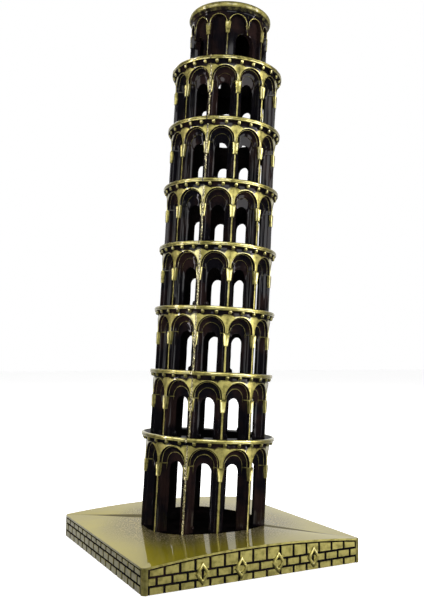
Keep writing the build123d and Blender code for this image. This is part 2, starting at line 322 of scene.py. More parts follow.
class NodeBench:
    """A new material with a Principled shader, and short ways to add nodes to it."""

    def __init__(self, name: str) -> None:
        """Make the material.

        Args:
            name: The material's name.
        """
        self.material = bpy.data.materials.new(name)
        self.material.use_nodes = True
        self.tree = self.material.node_tree
        self.shader = self.tree.nodes["Principled BSDF"]
        self.place = self.node("ShaderNodeTexCoord").outputs["Object"]

    def node(self, kind: str, **settings: object) -> bpy.types.Node:
        """Add a node and set its properties.

        Args:
            kind: Blender's name for the node.
            **settings: Properties of the node.

        Returns:
            The node.
        """
        made = self.tree.nodes.new(kind)
        for name, value in settings.items():
            setattr(made, name, value)
        return made

    def feed(self, socket: bpy.types.NodeSocket, value: object) -> None:
        """Link an output into a socket, or set the socket's own value.

        Args:
            socket: The input.
            value: An output socket or a plain value.
        """
        if isinstance(value, bpy.types.NodeSocket):
            self.tree.links.new(value, socket)
        elif isinstance(value, tuple) and len(value) == 3 and len(socket.default_value) == 4:
            socket.default_value = (*value, 1.0)
        else:
            socket.default_value = value

    def lumps(self, scale: float, detail: float = 3.0, roughness: float = 0.55) -> bpy.types.NodeSocket:
        """Return a noise value on the piece's own coordinates.

        Args:
            scale: Lumps per metre.
            detail: Octaves.
            roughness: Strength of the finer octaves.

        Returns:
            The noise output, from 0 to 1.
        """
        made = self.node("ShaderNodeTexNoise")
        self.feed(made.inputs["Vector"], self.place)
        made.inputs["Scale"].default_value = scale
        made.inputs["Detail"].default_value = detail
        made.inputs["Roughness"].default_value = roughness
        return made.outputs["Fac"]

    def maths(self, operation: str, *values: object, clamp: bool = False) -> bpy.types.NodeSocket:
        """Return the result of a Math node.

        Args:
            operation: Blender's name for the operation.
            *values: Numbers or outputs.
            clamp: Keep the result between 0 and 1.

        Returns:
            The node's output.
        """
        made = self.node("ShaderNodeMath", operation=operation, use_clamp=clamp)
        for socket, value in zip(made.inputs, values):
            self.feed(socket, value)
        return made.outputs[0]

    def ramp(
        self, value: object, low: float, high: float, start: object, end: object
    ) -> bpy.types.NodeSocket:
        """Return a value smoothly mapped from one range to another.

        Args:
            value: The input.
            low: Input where the result is start.
            high: Input where the result is end.
            start: Result at low.
            end: Result at high.

        Returns:
            The node's output.
        """
        made = self.node("ShaderNodeMapRange", interpolation_type="SMOOTHSTEP")
        names = ("Value", "From Min", "From Max", "To Min", "To Max")
        for name, item in zip(names, (value, low, high, start, end)):
            self.feed(made.inputs[name], item)
        return made.outputs["Result"]

    def blend(self, share: object, first: object, second: object) -> bpy.types.NodeSocket:
        """Return a mix of two colours.

        Args:
            share: How much of the second.
            first: The first colour.
            second: The second colour.

        Returns:
            The mixed colour.
        """
        made = self.node("ShaderNodeMix", data_type="RGBA")
        self.feed(made.inputs[0], share)
        self.feed(made.inputs[6], first)
        self.feed(made.inputs[7], second)
        return made.outputs[2]

    def relief(self, height: bpy.types.NodeSocket, depth: float, strength: float) -> None:
        """Give the surface a fine relief.

        Args:
            height: Height from 0 to 1.
            depth: Depth in metres.
            strength: Share of the relief that shows.
        """
        bump = self.node("ShaderNodeBump")
        bump.inputs["Distance"].default_value = depth
        bump.inputs["Strength"].default_value = strength
        self.feed(bump.inputs["Height"], height)
        self.feed(self.shader.inputs["Normal"], bump.outputs["Normal"])

    def set(self, **values: object) -> None:
        """Set or link the shader's sockets.

        Args:
            **values: Socket names with _ for each space, and their values.
        """
        for name, value in values.items():
            self.feed(self.shader.inputs[name.replace("_", " ")], value)


@dataclass(frozen=True)
class AntiqueBrass:
    """Brass plating, blackened, rubbed bright where it stands proud, then lacquered."""

    name: str
    bright: Colour = (0.37, 0.33, 0.105)
    olive: Colour = (0.2, 0.178, 0.05)
    black: Colour = (0.0022, 0.002, 0.0028)
    umber: Colour = (0.009, 0.005, 0.0045)
    break_up: float = 0.34
    grain_depth: float = 0.00012
    lacquer: float = 0.9
    lacquer_in_hollows: float = 0.16
    handled_to: float = 0.07
    untouched_from: float = 0.15
    specular: float = 0.0

    def build(self) -> bpy.types.Material:
        """Return the material."""
        bench = NodeBench(self.name)
        wear = bench.node("ShaderNodeAttribute", attribute_name=POLISH).outputs["Fac"]
        patches = bench.lumps(420.0, 4.0)
        grain = bench.lumps(2600.0, 3.0, 0.65)
        clouds = bench.lumps(95.0, 3.0)
        spread = bench.maths("MULTIPLY", bench.maths("SUBTRACT", patches, 0.5), self.break_up)
        fine = bench.maths("MULTIPLY", bench.maths("SUBTRACT", grain, 0.5), self.break_up * 0.6)
        height = bench.node("ShaderNodeSeparateXYZ")
        bench.feed(height.inputs[0], bench.place)
        handled = bench.ramp(height.outputs["Z"], self.handled_to, self.untouched_from, 0.02, -0.08)
        rubbed = bench.maths("ADD", bench.maths("ADD", wear, handled), bench.maths("ADD", spread, fine))
        mask = bench.ramp(rubbed, 0.3, 0.78, 0.0, 1.0)
        dark = bench.blend(bench.ramp(clouds, 0.42, 0.68, 0.0, 1.0), self.black, self.umber)
        light = bench.blend(bench.ramp(patches, 0.3, 0.6, 0.0, 1.0), self.olive, self.bright)
        bench.set(
            Base_Color=bench.blend(mask, dark, light),
            Metallic=mask,
            Roughness=bench.maths("ADD", bench.ramp(mask, 0.0, 1.0, 0.45, 0.4), fine),
            Specular_IOR_Level=self.specular,
            Coat_Weight=bench.ramp(mask, 0.0, 1.0, self.lacquer_in_hollows, self.lacquer),
            Coat_Roughness=0.05,
            Coat_IOR=1.5,
        )
        bench.relief(bench.maths("ADD", bench.maths("MULTIPLY", grain, 0.5), patches), self.grain_depth, 0.5)
        return bench.material


@dataclass(frozen=True)
class LacqueredTop:
    """The plinth's top: olive brass under thick clear lacquer, with a painted dark reflection along two
    ridges and soot mixed with painted contact shadow round the tower's foot.
    """

    name: str = "lacquered_brass_top"
    olive: Colour = (0.25, 0.215, 0.014)
    gold: Colour = (0.37, 0.32, 0.016)
    # Near-black, used both for real pits and for the painted dark reflection along the ridges.
    dark: Colour = (0.006, 0.005, 0.003)
    # Dark brown round the tower's foot: partly soot, partly painted contact shadow.
    soot_and_contact_shade: Colour = (0.03, 0.024, 0.006)
    grit: Colour = (0.42, 0.36, 0.24)
    edge_tint: Colour = (0.85, 0.72, 0.12)
    lacquer: float = 0.78
    # Where the soot, the painted contact shadow and the dust fade out, in metres from the axis.
    dust_and_shade_start: float = 0.031
    dust_and_shade_end: float = 0.05
    # Where the painted dark ridge reflection narrows from its widest to a hairline, in metres along the
    # diagonal.
    painted_reflection_start: float = 0.026
    painted_reflection_end: float = 0.06

    def build(self) -> bpy.types.Material:
        """Return the material."""
        bench = NodeBench(self.name)
        clouds = bench.lumps(38.0, 4.0)
        specks = bench.lumps(1500.0, 2.0, 0.7)
        along = self.measure(bench, (-math.sqrt(0.5), math.sqrt(0.5), 0.0))
        across = self.measure(bench, (math.sqrt(0.5), math.sqrt(0.5), 0.0))
        wobble = bench.maths("MULTIPLY", bench.maths("SUBTRACT", specks, 0.5), 0.00025)
        # Painted reflection: a dark line along the diagonal ridges, widest near the tower, stands in for the
        # tower's dark reflection in the crease.
        width = bench.ramp(along, self.painted_reflection_start, self.painted_reflection_end, 0.0025, 0.0001)
        inside = bench.maths("SUBTRACT", width, bench.maths("ADD", across, wobble))
        painted_ridge_reflection = bench.ramp(inside, -0.00012, 0.00012, 0.0, 0.92)
        pits = bench.ramp(specks, 0.7, 0.76, 0.0, 0.5)
        plate = bench.blend(bench.ramp(clouds, 0.35, 0.75, 0.0, 0.6), self.olive, self.gold)
        # Round the tower's foot the top darkens, partly from soot and partly as painted contact shadow; dust
        # specks are laid there too.
        away = bench.node("ShaderNodeVectorMath", operation="LENGTH")
        bench.feed(away.inputs[0], bench.place)
        near = bench.ramp(away.outputs["Value"], self.dust_and_shade_start, self.dust_and_shade_end, 1.0, 0.0)
        soiled_and_shaded = bench.blend(bench.maths("MULTIPLY", near, 0.85), plate, self.soot_and_contact_shade)
        dust = bench.maths("MULTIPLY", near, bench.ramp(bench.lumps(1900.0, 2.0, 0.6), 0.5, 0.58, 0.0, 1.0))
        dusted = bench.blend(bench.maths("MULTIPLY", dust, 0.8), soiled_and_shaded, self.grit)
        coat_on_painted_reflection = bench.ramp(painted_ridge_reflection, 0.0, 1.0, self.lacquer, 0.1)
        on_dust = bench.ramp(dust, 0.0, 1.0, self.lacquer, 0.3)
        # The near-black goes on real pits and on the painted ridge reflection.
        bench.set(
            Base_Color=bench.blend(bench.maths("MAXIMUM", painted_ridge_reflection, pits), dusted, self.dark),
            Metallic=0.62,
            Specular_IOR_Level=0.1,
            Specular_Tint=self.edge_tint,
            Roughness=bench.ramp(clouds, 0.3, 0.7, 0.34, 0.44),
            Coat_Weight=bench.maths("MINIMUM", coat_on_painted_reflection, on_dust),
            Coat_Roughness=0.025,
            Coat_IOR=1.5,
        )
        bench.relief(clouds, 0.0004, 0.25)
        return bench.material

    def measure(self, bench: NodeBench, direction: tuple[float, float, float]) -> bpy.types.NodeSocket:
        """Return the distance from the centre measured along a direction, either way.

        Args:
            bench: The material being made.
            direction: A unit vector.

        Returns:
            The distance in metres.
        """
        dot = bench.node("ShaderNodeVectorMath", operation="DOT_PRODUCT")
        bench.feed(dot.inputs[0], bench.place)
        dot.inputs[1].default_value = direction
        return bench.maths("ABSOLUTE", dot.outputs["Value"])


@dataclass(frozen=True)
class SolderFinish:
    """Granular solder under the same plating, rubbed bright on its lumps."""

    name: str = "plated_solder"
    light: Colour = (0.44, 0.39, 0.19)
    dark: Colour = (0.02, 0.015, 0.008)

    def build(self) -> bpy.types.Material:
        """Return the material."""
        bench = NodeBench(self.name)
        grain = bench.lumps(1700.0, 4.0, 0.7)
        share = bench.ramp(grain, 0.42, 0.6, 0.0, 1.0)
        bench.set(
            Base_Color=bench.blend(share, self.dark, self.light),
            Metallic=0.95,
            Roughness=bench.ramp(grain, 0.3, 0.7, 0.5, 0.3),
            Coat_Weight=0.8,
            Coat_Roughness=0.08,
        )
        bench.relief(grain, 0.0003, 0.8)
        return bench.material


@dataclass(frozen=True)
class PlatedSteel:
    """Zinc-plated or ground steel with fine turning marks."""

    name: str
    light: Colour = (0.62, 0.63, 0.65)
    dark: Colour = (0.36, 0.37, 0.38)

    def build(self) -> bpy.types.Material:
        """Return the material."""
        bench = NodeBench(self.name)
        marks = bench.lumps(900.0, 5.0, 0.7)
        bench.set(
            Base_Color=bench.blend(bench.ramp(marks, 0.3, 0.7, 0.0, 1.0), self.dark, self.light),
            Metallic=1.0,
            Roughness=bench.ramp(marks, 0.3, 0.7, 0.25, 0.42),
        )
        bench.relief(marks, 0.00005, 0.4)
        return bench.material


@dataclass(frozen=True)
class Felt:
    """Dense dark felt with short fibres."""

    name: str = "dark_felt"
    light: Colour = (0.035, 0.036, 0.034)
    dark: Colour = (0.008, 0.008, 0.008)

    def build(self) -> bpy.types.Material:
        """Return the material."""
        bench = NodeBench(self.name)
        fibres = bench.lumps(2400.0, 6.0, 0.8)
        bench.set(
            Base_Color=bench.blend(bench.ramp(fibres, 0.3, 0.7, 0.0, 1.0), self.dark, self.light),
            Roughness=0.95,
            Sheen_Weight=0.5,
            Sheen_Roughness=0.5,
        )
        bench.relief(fibres, 0.0003, 0.8)
        return bench.material


@dataclass(frozen=True)
class Paper:
    """Matt pale floor."""

    name: str = "pale_floor"
    light: Colour = (0.9, 0.9, 0.9)
    glow: float = 0.85

    def build(self) -> bpy.types.Material:
        """Return the material."""
        bench = NodeBench(self.name)
        bench.set(
            Base_Color=self.light,
            Roughness=0.8,
            Specular_IOR_Level=0.1,
            Emission_Color=self.light,
            Emission_Strength=self.glow,
        )
        return bench.material


# ---- arcades -------------------------------------------------------------------------------


@dataclass(frozen=True)
class Order:
    """One outline of a stepped arch: half-width, springing level, depth and wear."""

    half_width: float
    springing: float
    depth: float
    wear: Wear


@dataclass
class ArchPanel:
    """A wall panel laid out flat, with one round-headed opening in stepped orders."""

    width: float
    sill: float
    top: float
    thickness: float
    orders: Sequence[Order]
    arc_steps: int = 18
    leg_steps: int = 5
    dark_crown: float = 0.3
    column_head: float = 1.5
    face_wear: Wear = Wear.WORN
    column_wear: Wear = Wear.EDGE
    leg_wear: Wear = Wear.SHADED

    def build(self, bm: bmesh.types.BMesh) -> list:
        """Make the panel from its outermost outline in both directions.

        Args:
            bm: The mesh to add to.

        Returns:
            The panel's points, edges and faces.
        """
        known = set(bm.verts)
        first = self.orders[0]
        edge_chain = self.draw_outline(bm, first)
        chain, order = edge_chain, first
        for following in self.orders[1:]:
            chain = self.step(bm, chain, order, following)
            order = following
        back, _ = push_chain(bm, chain)
        self.square_up(back, order, -self.thickness)
        rub(bm, back, Wear.HIDDEN)
        front, chain = push_chain(bm, edge_chain)
        self.square_up(front, first, 0.0)
        rub(bm, front, self.face_wear)
        crown = [v for v in front if v.co.z > self.top - 0.01 and abs(v.co.x) < self.dark_crown * self.width]
        rub(bm, crown, Wear.HIDDEN)
        rub(bm, [v for v in front if v.co.z < first.springing - self.column_head], self.column_wear)
        seen = set(bm.faces)
        sides, _ = push_chain(bm, chain)
        bmesh.ops.translate(bm, vec=(0, -self.thickness, 0), verts=sides)
        rub(bm, sides, Wear.HIDDEN)
        self.mark_sides(bm, [face for face in bm.faces if face not in seen])
        made = [vert for vert in bm.verts if vert not in known]
        bmesh.ops.remove_doubles(bm, verts=made, dist=0.002)
        return everything(vert for vert in bm.verts if vert not in known)

    def draw_outline(self, bm: bmesh.types.BMesh, order: Order) -> list:
        """Draw the first arch: up one leg, round the arc and down the other.

        Args:
            bm: The mesh.
            order: The outline.

        Returns:
            The chain of edges.
        """
        known = set(bm.edges)
        rise = (order.springing - self.sill) / self.leg_steps
        tip = bm.verts.new((order.half_width, -order.depth, self.sill))
        for _ in range(self.leg_steps):
            tip = self.next_point(bm, tip, rise)
        spun = bmesh.ops.spin(
            bm,
            geom=[tip],
            cent=(0, -order.depth, order.springing),
            axis=(0, -1, 0),
            angle=math.pi,
            steps=self.arc_steps,
        )
        tip = points_of(spun["geom_last"])[0]
        for _ in range(self.leg_steps):
            tip = self.next_point(bm, tip, -rise)
        chain = [edge for edge in bm.edges if edge not in known]
        drawn = {vert for edge in chain for vert in edge.verts}
        rub(bm, drawn, order.wear)
        rub(bm, [v for v in drawn if v.co.z < order.springing - self.column_head], Wear.RUBBED)
        return chain

    def next_point(self, bm: bmesh.types.BMesh, tip: bmesh.types.BMVert, rise: float) -> bmesh.types.BMVert:
        """Return a new point above or below the last, joined to it."""
        point = bmesh.ops.extrude_vert_indiv(bm, verts=[tip])["verts"][0]
        point.co.z += rise
        return point

    def step(self, bm: bmesh.types.BMesh, chain: list, old: Order, new: Order) -> list:
        """Carry an outline on to the next order.

        Args:
            bm: The mesh.
            chain: The outline's edges.
            old: The order that they follow.
            new: The order to reach.

        Returns:
            The new outline's edges.
        """
        verts, chain = push_chain(bm, chain)
        head = [vert for vert in verts if vert.co.z > old.springing - 0.001]
        legs = [vert for vert in verts if vert.co.z <= old.springing - 0.001]
        ratio = new.half_width / old.half_width
        stretch = (new.springing - self.sill) / (old.springing - self.sill)
        bmesh.ops.scale(
            bm, vec=(ratio, 1, ratio), space=Matrix.Translation((0, 0, -old.springing)), verts=head
        )
        bmesh.ops.translate(bm, vec=(0, 0, new.springing - old.springing), verts=head)
        bmesh.ops.scale(bm, vec=(ratio, 1, stretch), space=Matrix.Translation((0, 0, -self.sill)), verts=legs)
        bmesh.ops.translate(bm, vec=(0, old.depth - new.depth, 0), verts=verts)
        rub(bm, verts, new.wear)
        if new.wear is not Wear.HIDDEN:
            rub(bm, [v for v in legs if v.co.z < new.springing - self.column_head], self.leg_wear)
        return chain

    def square_up(self, verts: list, order: Order, y: float) -> None:
        """Spread an outline's points onto the panel's rectangle.

        Args:
            verts: The points.
            order: The order that they follow.
            y: Depth of the rectangle, outwards.
        """
        first = self.orders[0]
        half, height = self.width / 2, self.top - first.springing
        corner = math.atan2(height, half)
        near = math.pi / self.arc_steps / 2
        for vert in verts:
            side = math.copysign(1.0, vert.co.x)
            if vert.co.z < order.springing - 0.001:
                share = (vert.co.z - self.sill) / (order.springing - self.sill)
                vert.co = (side * half, y, self.sill + share * (first.springing - self.sill))
                continue
            angle = math.atan2(max(0.0, vert.co.z - order.springing), abs(vert.co.x))
            if abs(angle - corner) <= near:
                angle = corner
            reach = half / math.cos(angle) if angle <= corner else height / math.sin(angle)
            vert.co = (side * reach * math.cos(angle), y, first.springing + reach * math.sin(angle))

    def mark_sides(self, bm: bmesh.types.BMesh, faces: Sequence[bmesh.types.BMFace]) -> None:
        """Mark the panel's left and right walls, which a neighbouring panel makes needless.

        Args:
            bm: The mesh.
            faces: The faces of the panel's rim.
        """
        layer = bm.faces.layers.int[SIDE_WALL]
        for face in faces:
            centre = face.calc_center_median()
            if abs(abs(centre.x) - self.width / 2) < 0.001:
                face[layer] = 1 if centre.x > 0 else -1


def lay_round(
    bm: bmesh.types.BMesh, pattern: list, radius: float, angles: Sequence[float], joined: bool = True
) -> list[bmesh.types.BMVert]:
    """Copy a flat pattern to each angle of a wall, bend it there and remove the pattern.

    Args:
        bm: The mesh.
        pattern: Points, edges and faces of the flat pattern.
        radius: Radius of the wall.
        angles: Where the copies go, in degrees.
        joined: Whether neighbours share their side walls, which then go.

    Returns:
        The points of all the copies.
    """
    layer = bm.faces.layers.int[SIDE_WALL]
    laid = []
    for number, angle in enumerate(angles):
        verts, faces = copy_of(bm, pattern)
        inner = set()
        if joined and number > 0:
            inner.add(-1)
        if joined and number < len(angles) - 1:
            inner.add(1)
        needless = [face for face in faces if face[layer] in inner]
        wrap(verts, radius, angle)
        laid += verts
        bmesh.ops.delete(bm, geom=needless, context="FACES_ONLY")
    bmesh.ops.delete(bm, geom=points_of(pattern), context="VERTS")
    return [vert for vert in laid if vert.is_valid]


@dataclass
class Capital:
    """A shield-shaped block with a raised border, at the head of a column."""

    width: float = 2.5
    height: float = 5.4
    depth: float = 2.0
    proud: float = 0.45
    shoulder: float = 1.3
    foot: float = 0.68
    foot_depth: float = 0.8
    border: float = 0.33
    sunk: float = 0.16
    wear: Wear = Wear.BRIGHT

    def build(self, bm: bmesh.types.BMesh, top: float) -> list:
        """Make the block flat, centred on its column.

        Args:
            bm: The mesh.
            top: Level of its top.

        Returns:
            Its points, edges and faces.
        """
        known = set(bm.verts)
        middle = (0, self.proud - self.depth / 2, top - self.height / 2)
        block = everything(add_block(bm, middle, (self.width, self.depth, self.height)))
        bmesh.ops.bisect_plane(bm, geom=block, plane_co=(0, 0, top - self.shoulder), plane_no=(0, 0, 1))
        made = [vert for vert in bm.verts if vert not in known]
        low = [vert for vert in made if vert.co.z < top - self.height + 0.01]
        bmesh.ops.scale(bm, vec=(self.foot, self.foot_depth, 1), verts=low)
        faces = {face for vert in made for face in vert.link_faces}
        bmesh.ops.recalc_face_normals(bm, faces=list(faces))
        rub(bm, made, Wear.SHADED)
        front = [face for face in faces if face.normal.y > 0.7]
        rub(bm, {vert for face in front for vert in face.verts}, self.wear)
        rim = {edge for face in front for edge in face.edges}
        rim = [edge for edge in rim if sum(face in front for face in edge.link_faces) == 1]
        round_edges(bm, rim, self.sunk, 1, clamp=True)
        made = [vert for vert in bm.verts if vert not in known]
        faces = {face for vert in made for face in vert.link_faces}
        front = [face for face in faces if face.normal.y > 0.93]
        bmesh.ops.inset_region(bm, faces=front, thickness=self.border, depth=0, use_even_offset=True)
        inner = {vert for face in front for vert in face.verts}
        bmesh.ops.translate(bm, vec=(0, -self.sunk, 0), verts=list(inner))
        return everything(vert for vert in bm.verts if vert not in known)


@dataclass
class Storey:
    """One open arcade: twelve bays round, six on each half."""

    number: int
    radius: float
    lip_level: float
    floor: float
    lip_height: float = 1.7
    cove: float = 1.95
    spandrel: float = 0.3
    stilt: float = 1.2
    wall: float = 4.4
    bays: int = 12
    overlap: float = 0.35
    outer_share: float = 0.45
    window_share: float = 0.268
    lump_pitch: float = 1.6
    lump_size: float = 0.11
    ledge_share: float = 0.425
    ledge_splay: float = 0.075
    ledge_depth: float = 1.6
    ledge_size: tuple[float, float, float] = (0.9, 2.8, 0.36)
    flash_share: float = 0.55
    flash_depth: float = 3.9

    @property
    def bay(self) -> float:
        """Chord of one bay."""
        return 2 * self.radius * math.sin(math.pi / self.bays)

    @property
    def top(self) -> float:
        """Top of the arcade, where the cove starts."""
        return self.lip_level - self.lip_height / 2 - self.cove

    @property
    def springing(self) -> float:
        """Level where the outer arches start to bend."""
        return self.top - self.spandrel - self.outer_share * self.bay

    @property
    def capital_top(self) -> float:
        """Level of the capitals' tops."""
        return self.springing - self.stilt

    def orders(self) -> list[Order]:
        """Return the outlines of one bay from the face of the wall to its inside."""
        bay, high = self.bay, self.springing
        low = self.capital_top + (1.2 if self.number == 0 else 0.5) - self.window_share * bay
        mid = high - 0.3 * (high - low)
        return [
            Order(0.472 * bay, high, 0.05, Wear.EDGE),
            Order(0.469 * bay, high, -0.12, Wear.BRIGHT),
            Order(0.459 * bay, high, -0.12, Wear.BRIGHT),
            Order(0.456 * bay, high, 0.08, Wear.RUBBED),
            Order(0.453 * bay, high, 0.22, Wear.HIDDEN),
            Order(0.436 * bay, high, 1.0, Wear.HIDDEN),
            # These two outlines deep in the recess get bright brass colour as a painted highlight, standing
            # in for thin glossy highlight lines.
            Order(0.43 * bay, high, 1.06, Wear.WORN),
            Order(0.422 * bay, high, 1.08, Wear.WORN),
            Order(0.416 * bay, high, 1.14, Wear.HIDDEN),
            Order(0.4 * bay, high, 1.5, Wear.HIDDEN),
            Order(0.385 * bay, high - 0.1, 2.0, Wear.HIDDEN),
            Order(0.365 * bay, high - 0.3, 2.6, Wear.HIDDEN),
            # These two inner outlines get bright brass colour as a painted highlight, standing in for thin
            # glossy highlight lines.
            Order(0.345 * bay, mid, 2.9, Wear.RUBBED),
            Order(0.338 * bay, mid, 2.86, Wear.WORN),
            Order(0.332 * bay, mid, 3.0, Wear.HIDDEN),
            Order(0.312 * bay, mid - 0.3 * (mid - low), 3.3, Wear.HIDDEN),
            Order(0.288 * bay, low + 0.3 * (mid - low), 3.5, Wear.HIDDEN),
            Order(self.window_share * bay, low, 3.75, Wear.HIDDEN),
            Order((self.window_share - 0.004) * bay, low, 4.0, Wear.HIDDEN),
            Order(self.window_share * bay, low, self.wall, Wear.HIDDEN),
        ]

    def build(self, bm: bmesh.types.BMesh) -> None:
        """Make one half's six bays, their impost ledges and capitals.

        Args:
            bm: The half's mesh, upright and unturned.
        """
        capital = Capital()
        step = 360.0 / self.bays
        centres = [step * (k + 0.5) for k in range(self.bays // 2)]
        sill = self.floor - self.overlap
        width, top = self.radius * math.radians(step), self.top + self.overlap
        panel = ArchPanel(width, sill, top, self.wall, self.orders())
        laid = lay_round(bm, panel.build(bm), self.radius, centres)
        rough = [v for v in laid if v[bm.verts.layers.float[POLISH]] < Wear.EDGE.value]
        roughen(rough, self.lump_pitch, self.lump_size, self.number * 7.1)
        lay_round(bm, self.imposts(bm), self.radius, centres, joined=False)
        self.flash(bm, centres)
        columns = [step * k for k in range(1, self.bays // 2)]
        lay_round(bm, capital.build(bm, self.capital_top), self.radius, columns, joined=False)
        for angle, keep in ((0.0, 1), (180.0, -1)):
            block = capital.build(bm, self.capital_top)
            cut = cut_and_cap(bm, block, (0, 0, 0), (-keep, 0, 0))
            kept = {v for item in cut for v in getattr(item, "verts", ())}
            wrap(self.connected(kept), self.radius, angle)

    def connected(self, seeds: set) -> set:
        """Return all points joined to these by edges."""
        found, front = set(seeds), list(seeds)
        while front:
            vert = front.pop()
            for edge in vert.link_edges:
                other = edge.other_vert(vert)
                if other not in found:
                    found.add(other)
                    front.append(other)
        return found

    def imposts(self, bm: bmesh.types.BMesh) -> list:
        """Make the two thin ledges that run from the capitals' tops into a recess.

        Args:
            bm: The mesh.

        Returns:
            Their points, edges and faces.
        """
        known = set(bm.verts)
        for side in (-1, 1):
            middle = (side * self.ledge_share * self.bay, -self.ledge_depth, self.capital_top)
            ledge = add_block(bm, middle, self.ledge_size)
            deep = [vert for vert in ledge if vert.co.y < -self.ledge_depth]
            bmesh.ops.translate(bm, vec=(-side * self.ledge_splay * self.bay, 0, 0), verts=deep)
            rub(bm, ledge, Wear.RUBBED)
        return everything(vert for vert in bm.verts if vert not in known)

    def flash(self, bm: bmesh.types.BMesh, centres: Sequence[float]) -> None:
        """Leave small lumps of casting flash in some corners of the openings.

        Args:
            bm: The mesh.
            centres: The bays' middle angles.
        """
        chance = random.Random(31 + self.number)
        for centre in centres:
            if chance.random() > self.flash_share:
                continue
            side = chance.choice((-1, 1))
            level = max(self.floor, 1.0) + chance.uniform(0.3, 1.2)
            size = Vector((chance.uniform(0.7, 1.5), 0.7, chance.uniform(0.7, 1.6)))
            place = Matrix.Translation((side * self.window_share * self.bay, -self.flash_depth, level))
            shape = place @ Matrix.Diagonal((*size, 1))
            lump = bmesh.ops.create_icosphere(bm, subdivisions=2, radius=1, matrix=shape)
            roughen(lump["verts"], 0.9, 0.4, centre)
            wrap(lump["verts"], self.radius, centre)
            rub(bm, lump["verts"], Wear.HIDDEN)


@dataclass
class RingLip:
    """The ring between two storeys: a cove with consoles under a double rounded band."""

    level: float
    wall_below: float
    wall_above: float
    radius: float
    bore_below: float
    bore_above: float
    height: float = 1.7
    cove: float = 1.95
    consoles: int = 28
    console_size: tuple[float, float, float] = (1.3, 2.0, 1.6)
    console_set_back: float = 1.35
    console_drop: float = 0.62
    console_lean: float = 0.35
    console_round: float = 0.45
    steps: int = 90
    lump_pitch: float = 2.4
    lump_size: float = 0.1

    def profile(self) -> list[tuple[float, float, Wear]]:
        """Return the section: radius, level and wear of each corner."""
        low, high, lip = self.level - self.height / 2, self.level + self.height / 2, self.radius
        wall = self.wall_below
        return [
            (self.bore_below, low - self.cove, Wear.HIDDEN),
            (wall, low - self.cove, Wear.RUBBED),
            (wall + 0.02, low - self.cove + 0.12, Wear.SHADED),
            (wall - 0.28, low - self.cove + 0.24, Wear.HIDDEN),
            (wall - 0.3, low - 0.7, Wear.HIDDEN),
            (wall + 0.1, low - 0.2, Wear.HIDDEN),
            (lip - 0.7, low - 0.08, Wear.HIDDEN),
            (lip - 0.4, low, Wear.RUBBED),
            (lip - 0.12, low + 0.12, Wear.EDGE),
            (lip - 0.02, low + 0.34, Wear.BRIGHT),
            (lip - 0.04, low + 0.56, Wear.EDGE),
            (lip - 0.16, low + 0.66, Wear.RUBBED),
            (lip - 0.14, low + 0.74, Wear.RUBBED),
            (lip, low + 0.86, Wear.BRIGHT),
            (lip + 0.02, high - 0.42, Wear.BRIGHT),
            (lip - 0.1, high - 0.16, Wear.BRIGHT),
            (lip - 0.36, high, Wear.BRIGHT),
            (lip - 0.8, high + 0.02, Wear.EDGE),
            (lip - 1.1, high - 0.04, Wear.RUBBED),
            (self.wall_above + 0.1, high - 0.05, Wear.HIDDEN),
            (self.wall_above - 0.3, high - 0.05, Wear.HIDDEN),
            (self.bore_above, high, Wear.HIDDEN),
        ]

    def build(self, bm: bmesh.types.BMesh) -> None:
        """Make one half of the ring and its consoles.

        Args:
            bm: The half's mesh, upright and unturned.
        """
        ring = spin_profile(bm, self.profile(), self.steps)
        roughen([v for v in ring if abs(v.co.y) > 0.01], self.lump_pitch, self.lump_size, self.level)
        pitch = 360.0 / self.consoles
        angles = [pitch * (k + 0.5) for k in range(self.consoles // 2)]
        lay_round(bm, self.console(bm), self.wall_below, angles, joined=False)

    def console(self, bm: bmesh.types.BMesh) -> list:
        """Make one rounded console flat.

        Args:
            bm: The mesh.

        Returns:
            Its points, edges and faces.
        """
        known = set(bm.verts)
        reach = self.radius - self.wall_below
        low = self.level - self.height / 2
        depth, level = reach - self.console_set_back, low - self.console_drop
        made = add_block(bm, (0, depth, level), self.console_size)
        front = [vert for vert in made if vert.co.y > depth]
        lower = [vert for vert in front if vert.co.z < level]
        rub(bm, made, Wear.HIDDEN)
        rub(bm, front, Wear.EDGE)
        bmesh.ops.translate(bm, vec=(0, -self.console_lean, 0), verts=lower)
        edges = {edge for vert in front for edge in vert.link_edges}
        round_edges(bm, edges, self.console_round, 2, clamp=True)
        return everything(vert for vert in bm.verts if vert not in known)


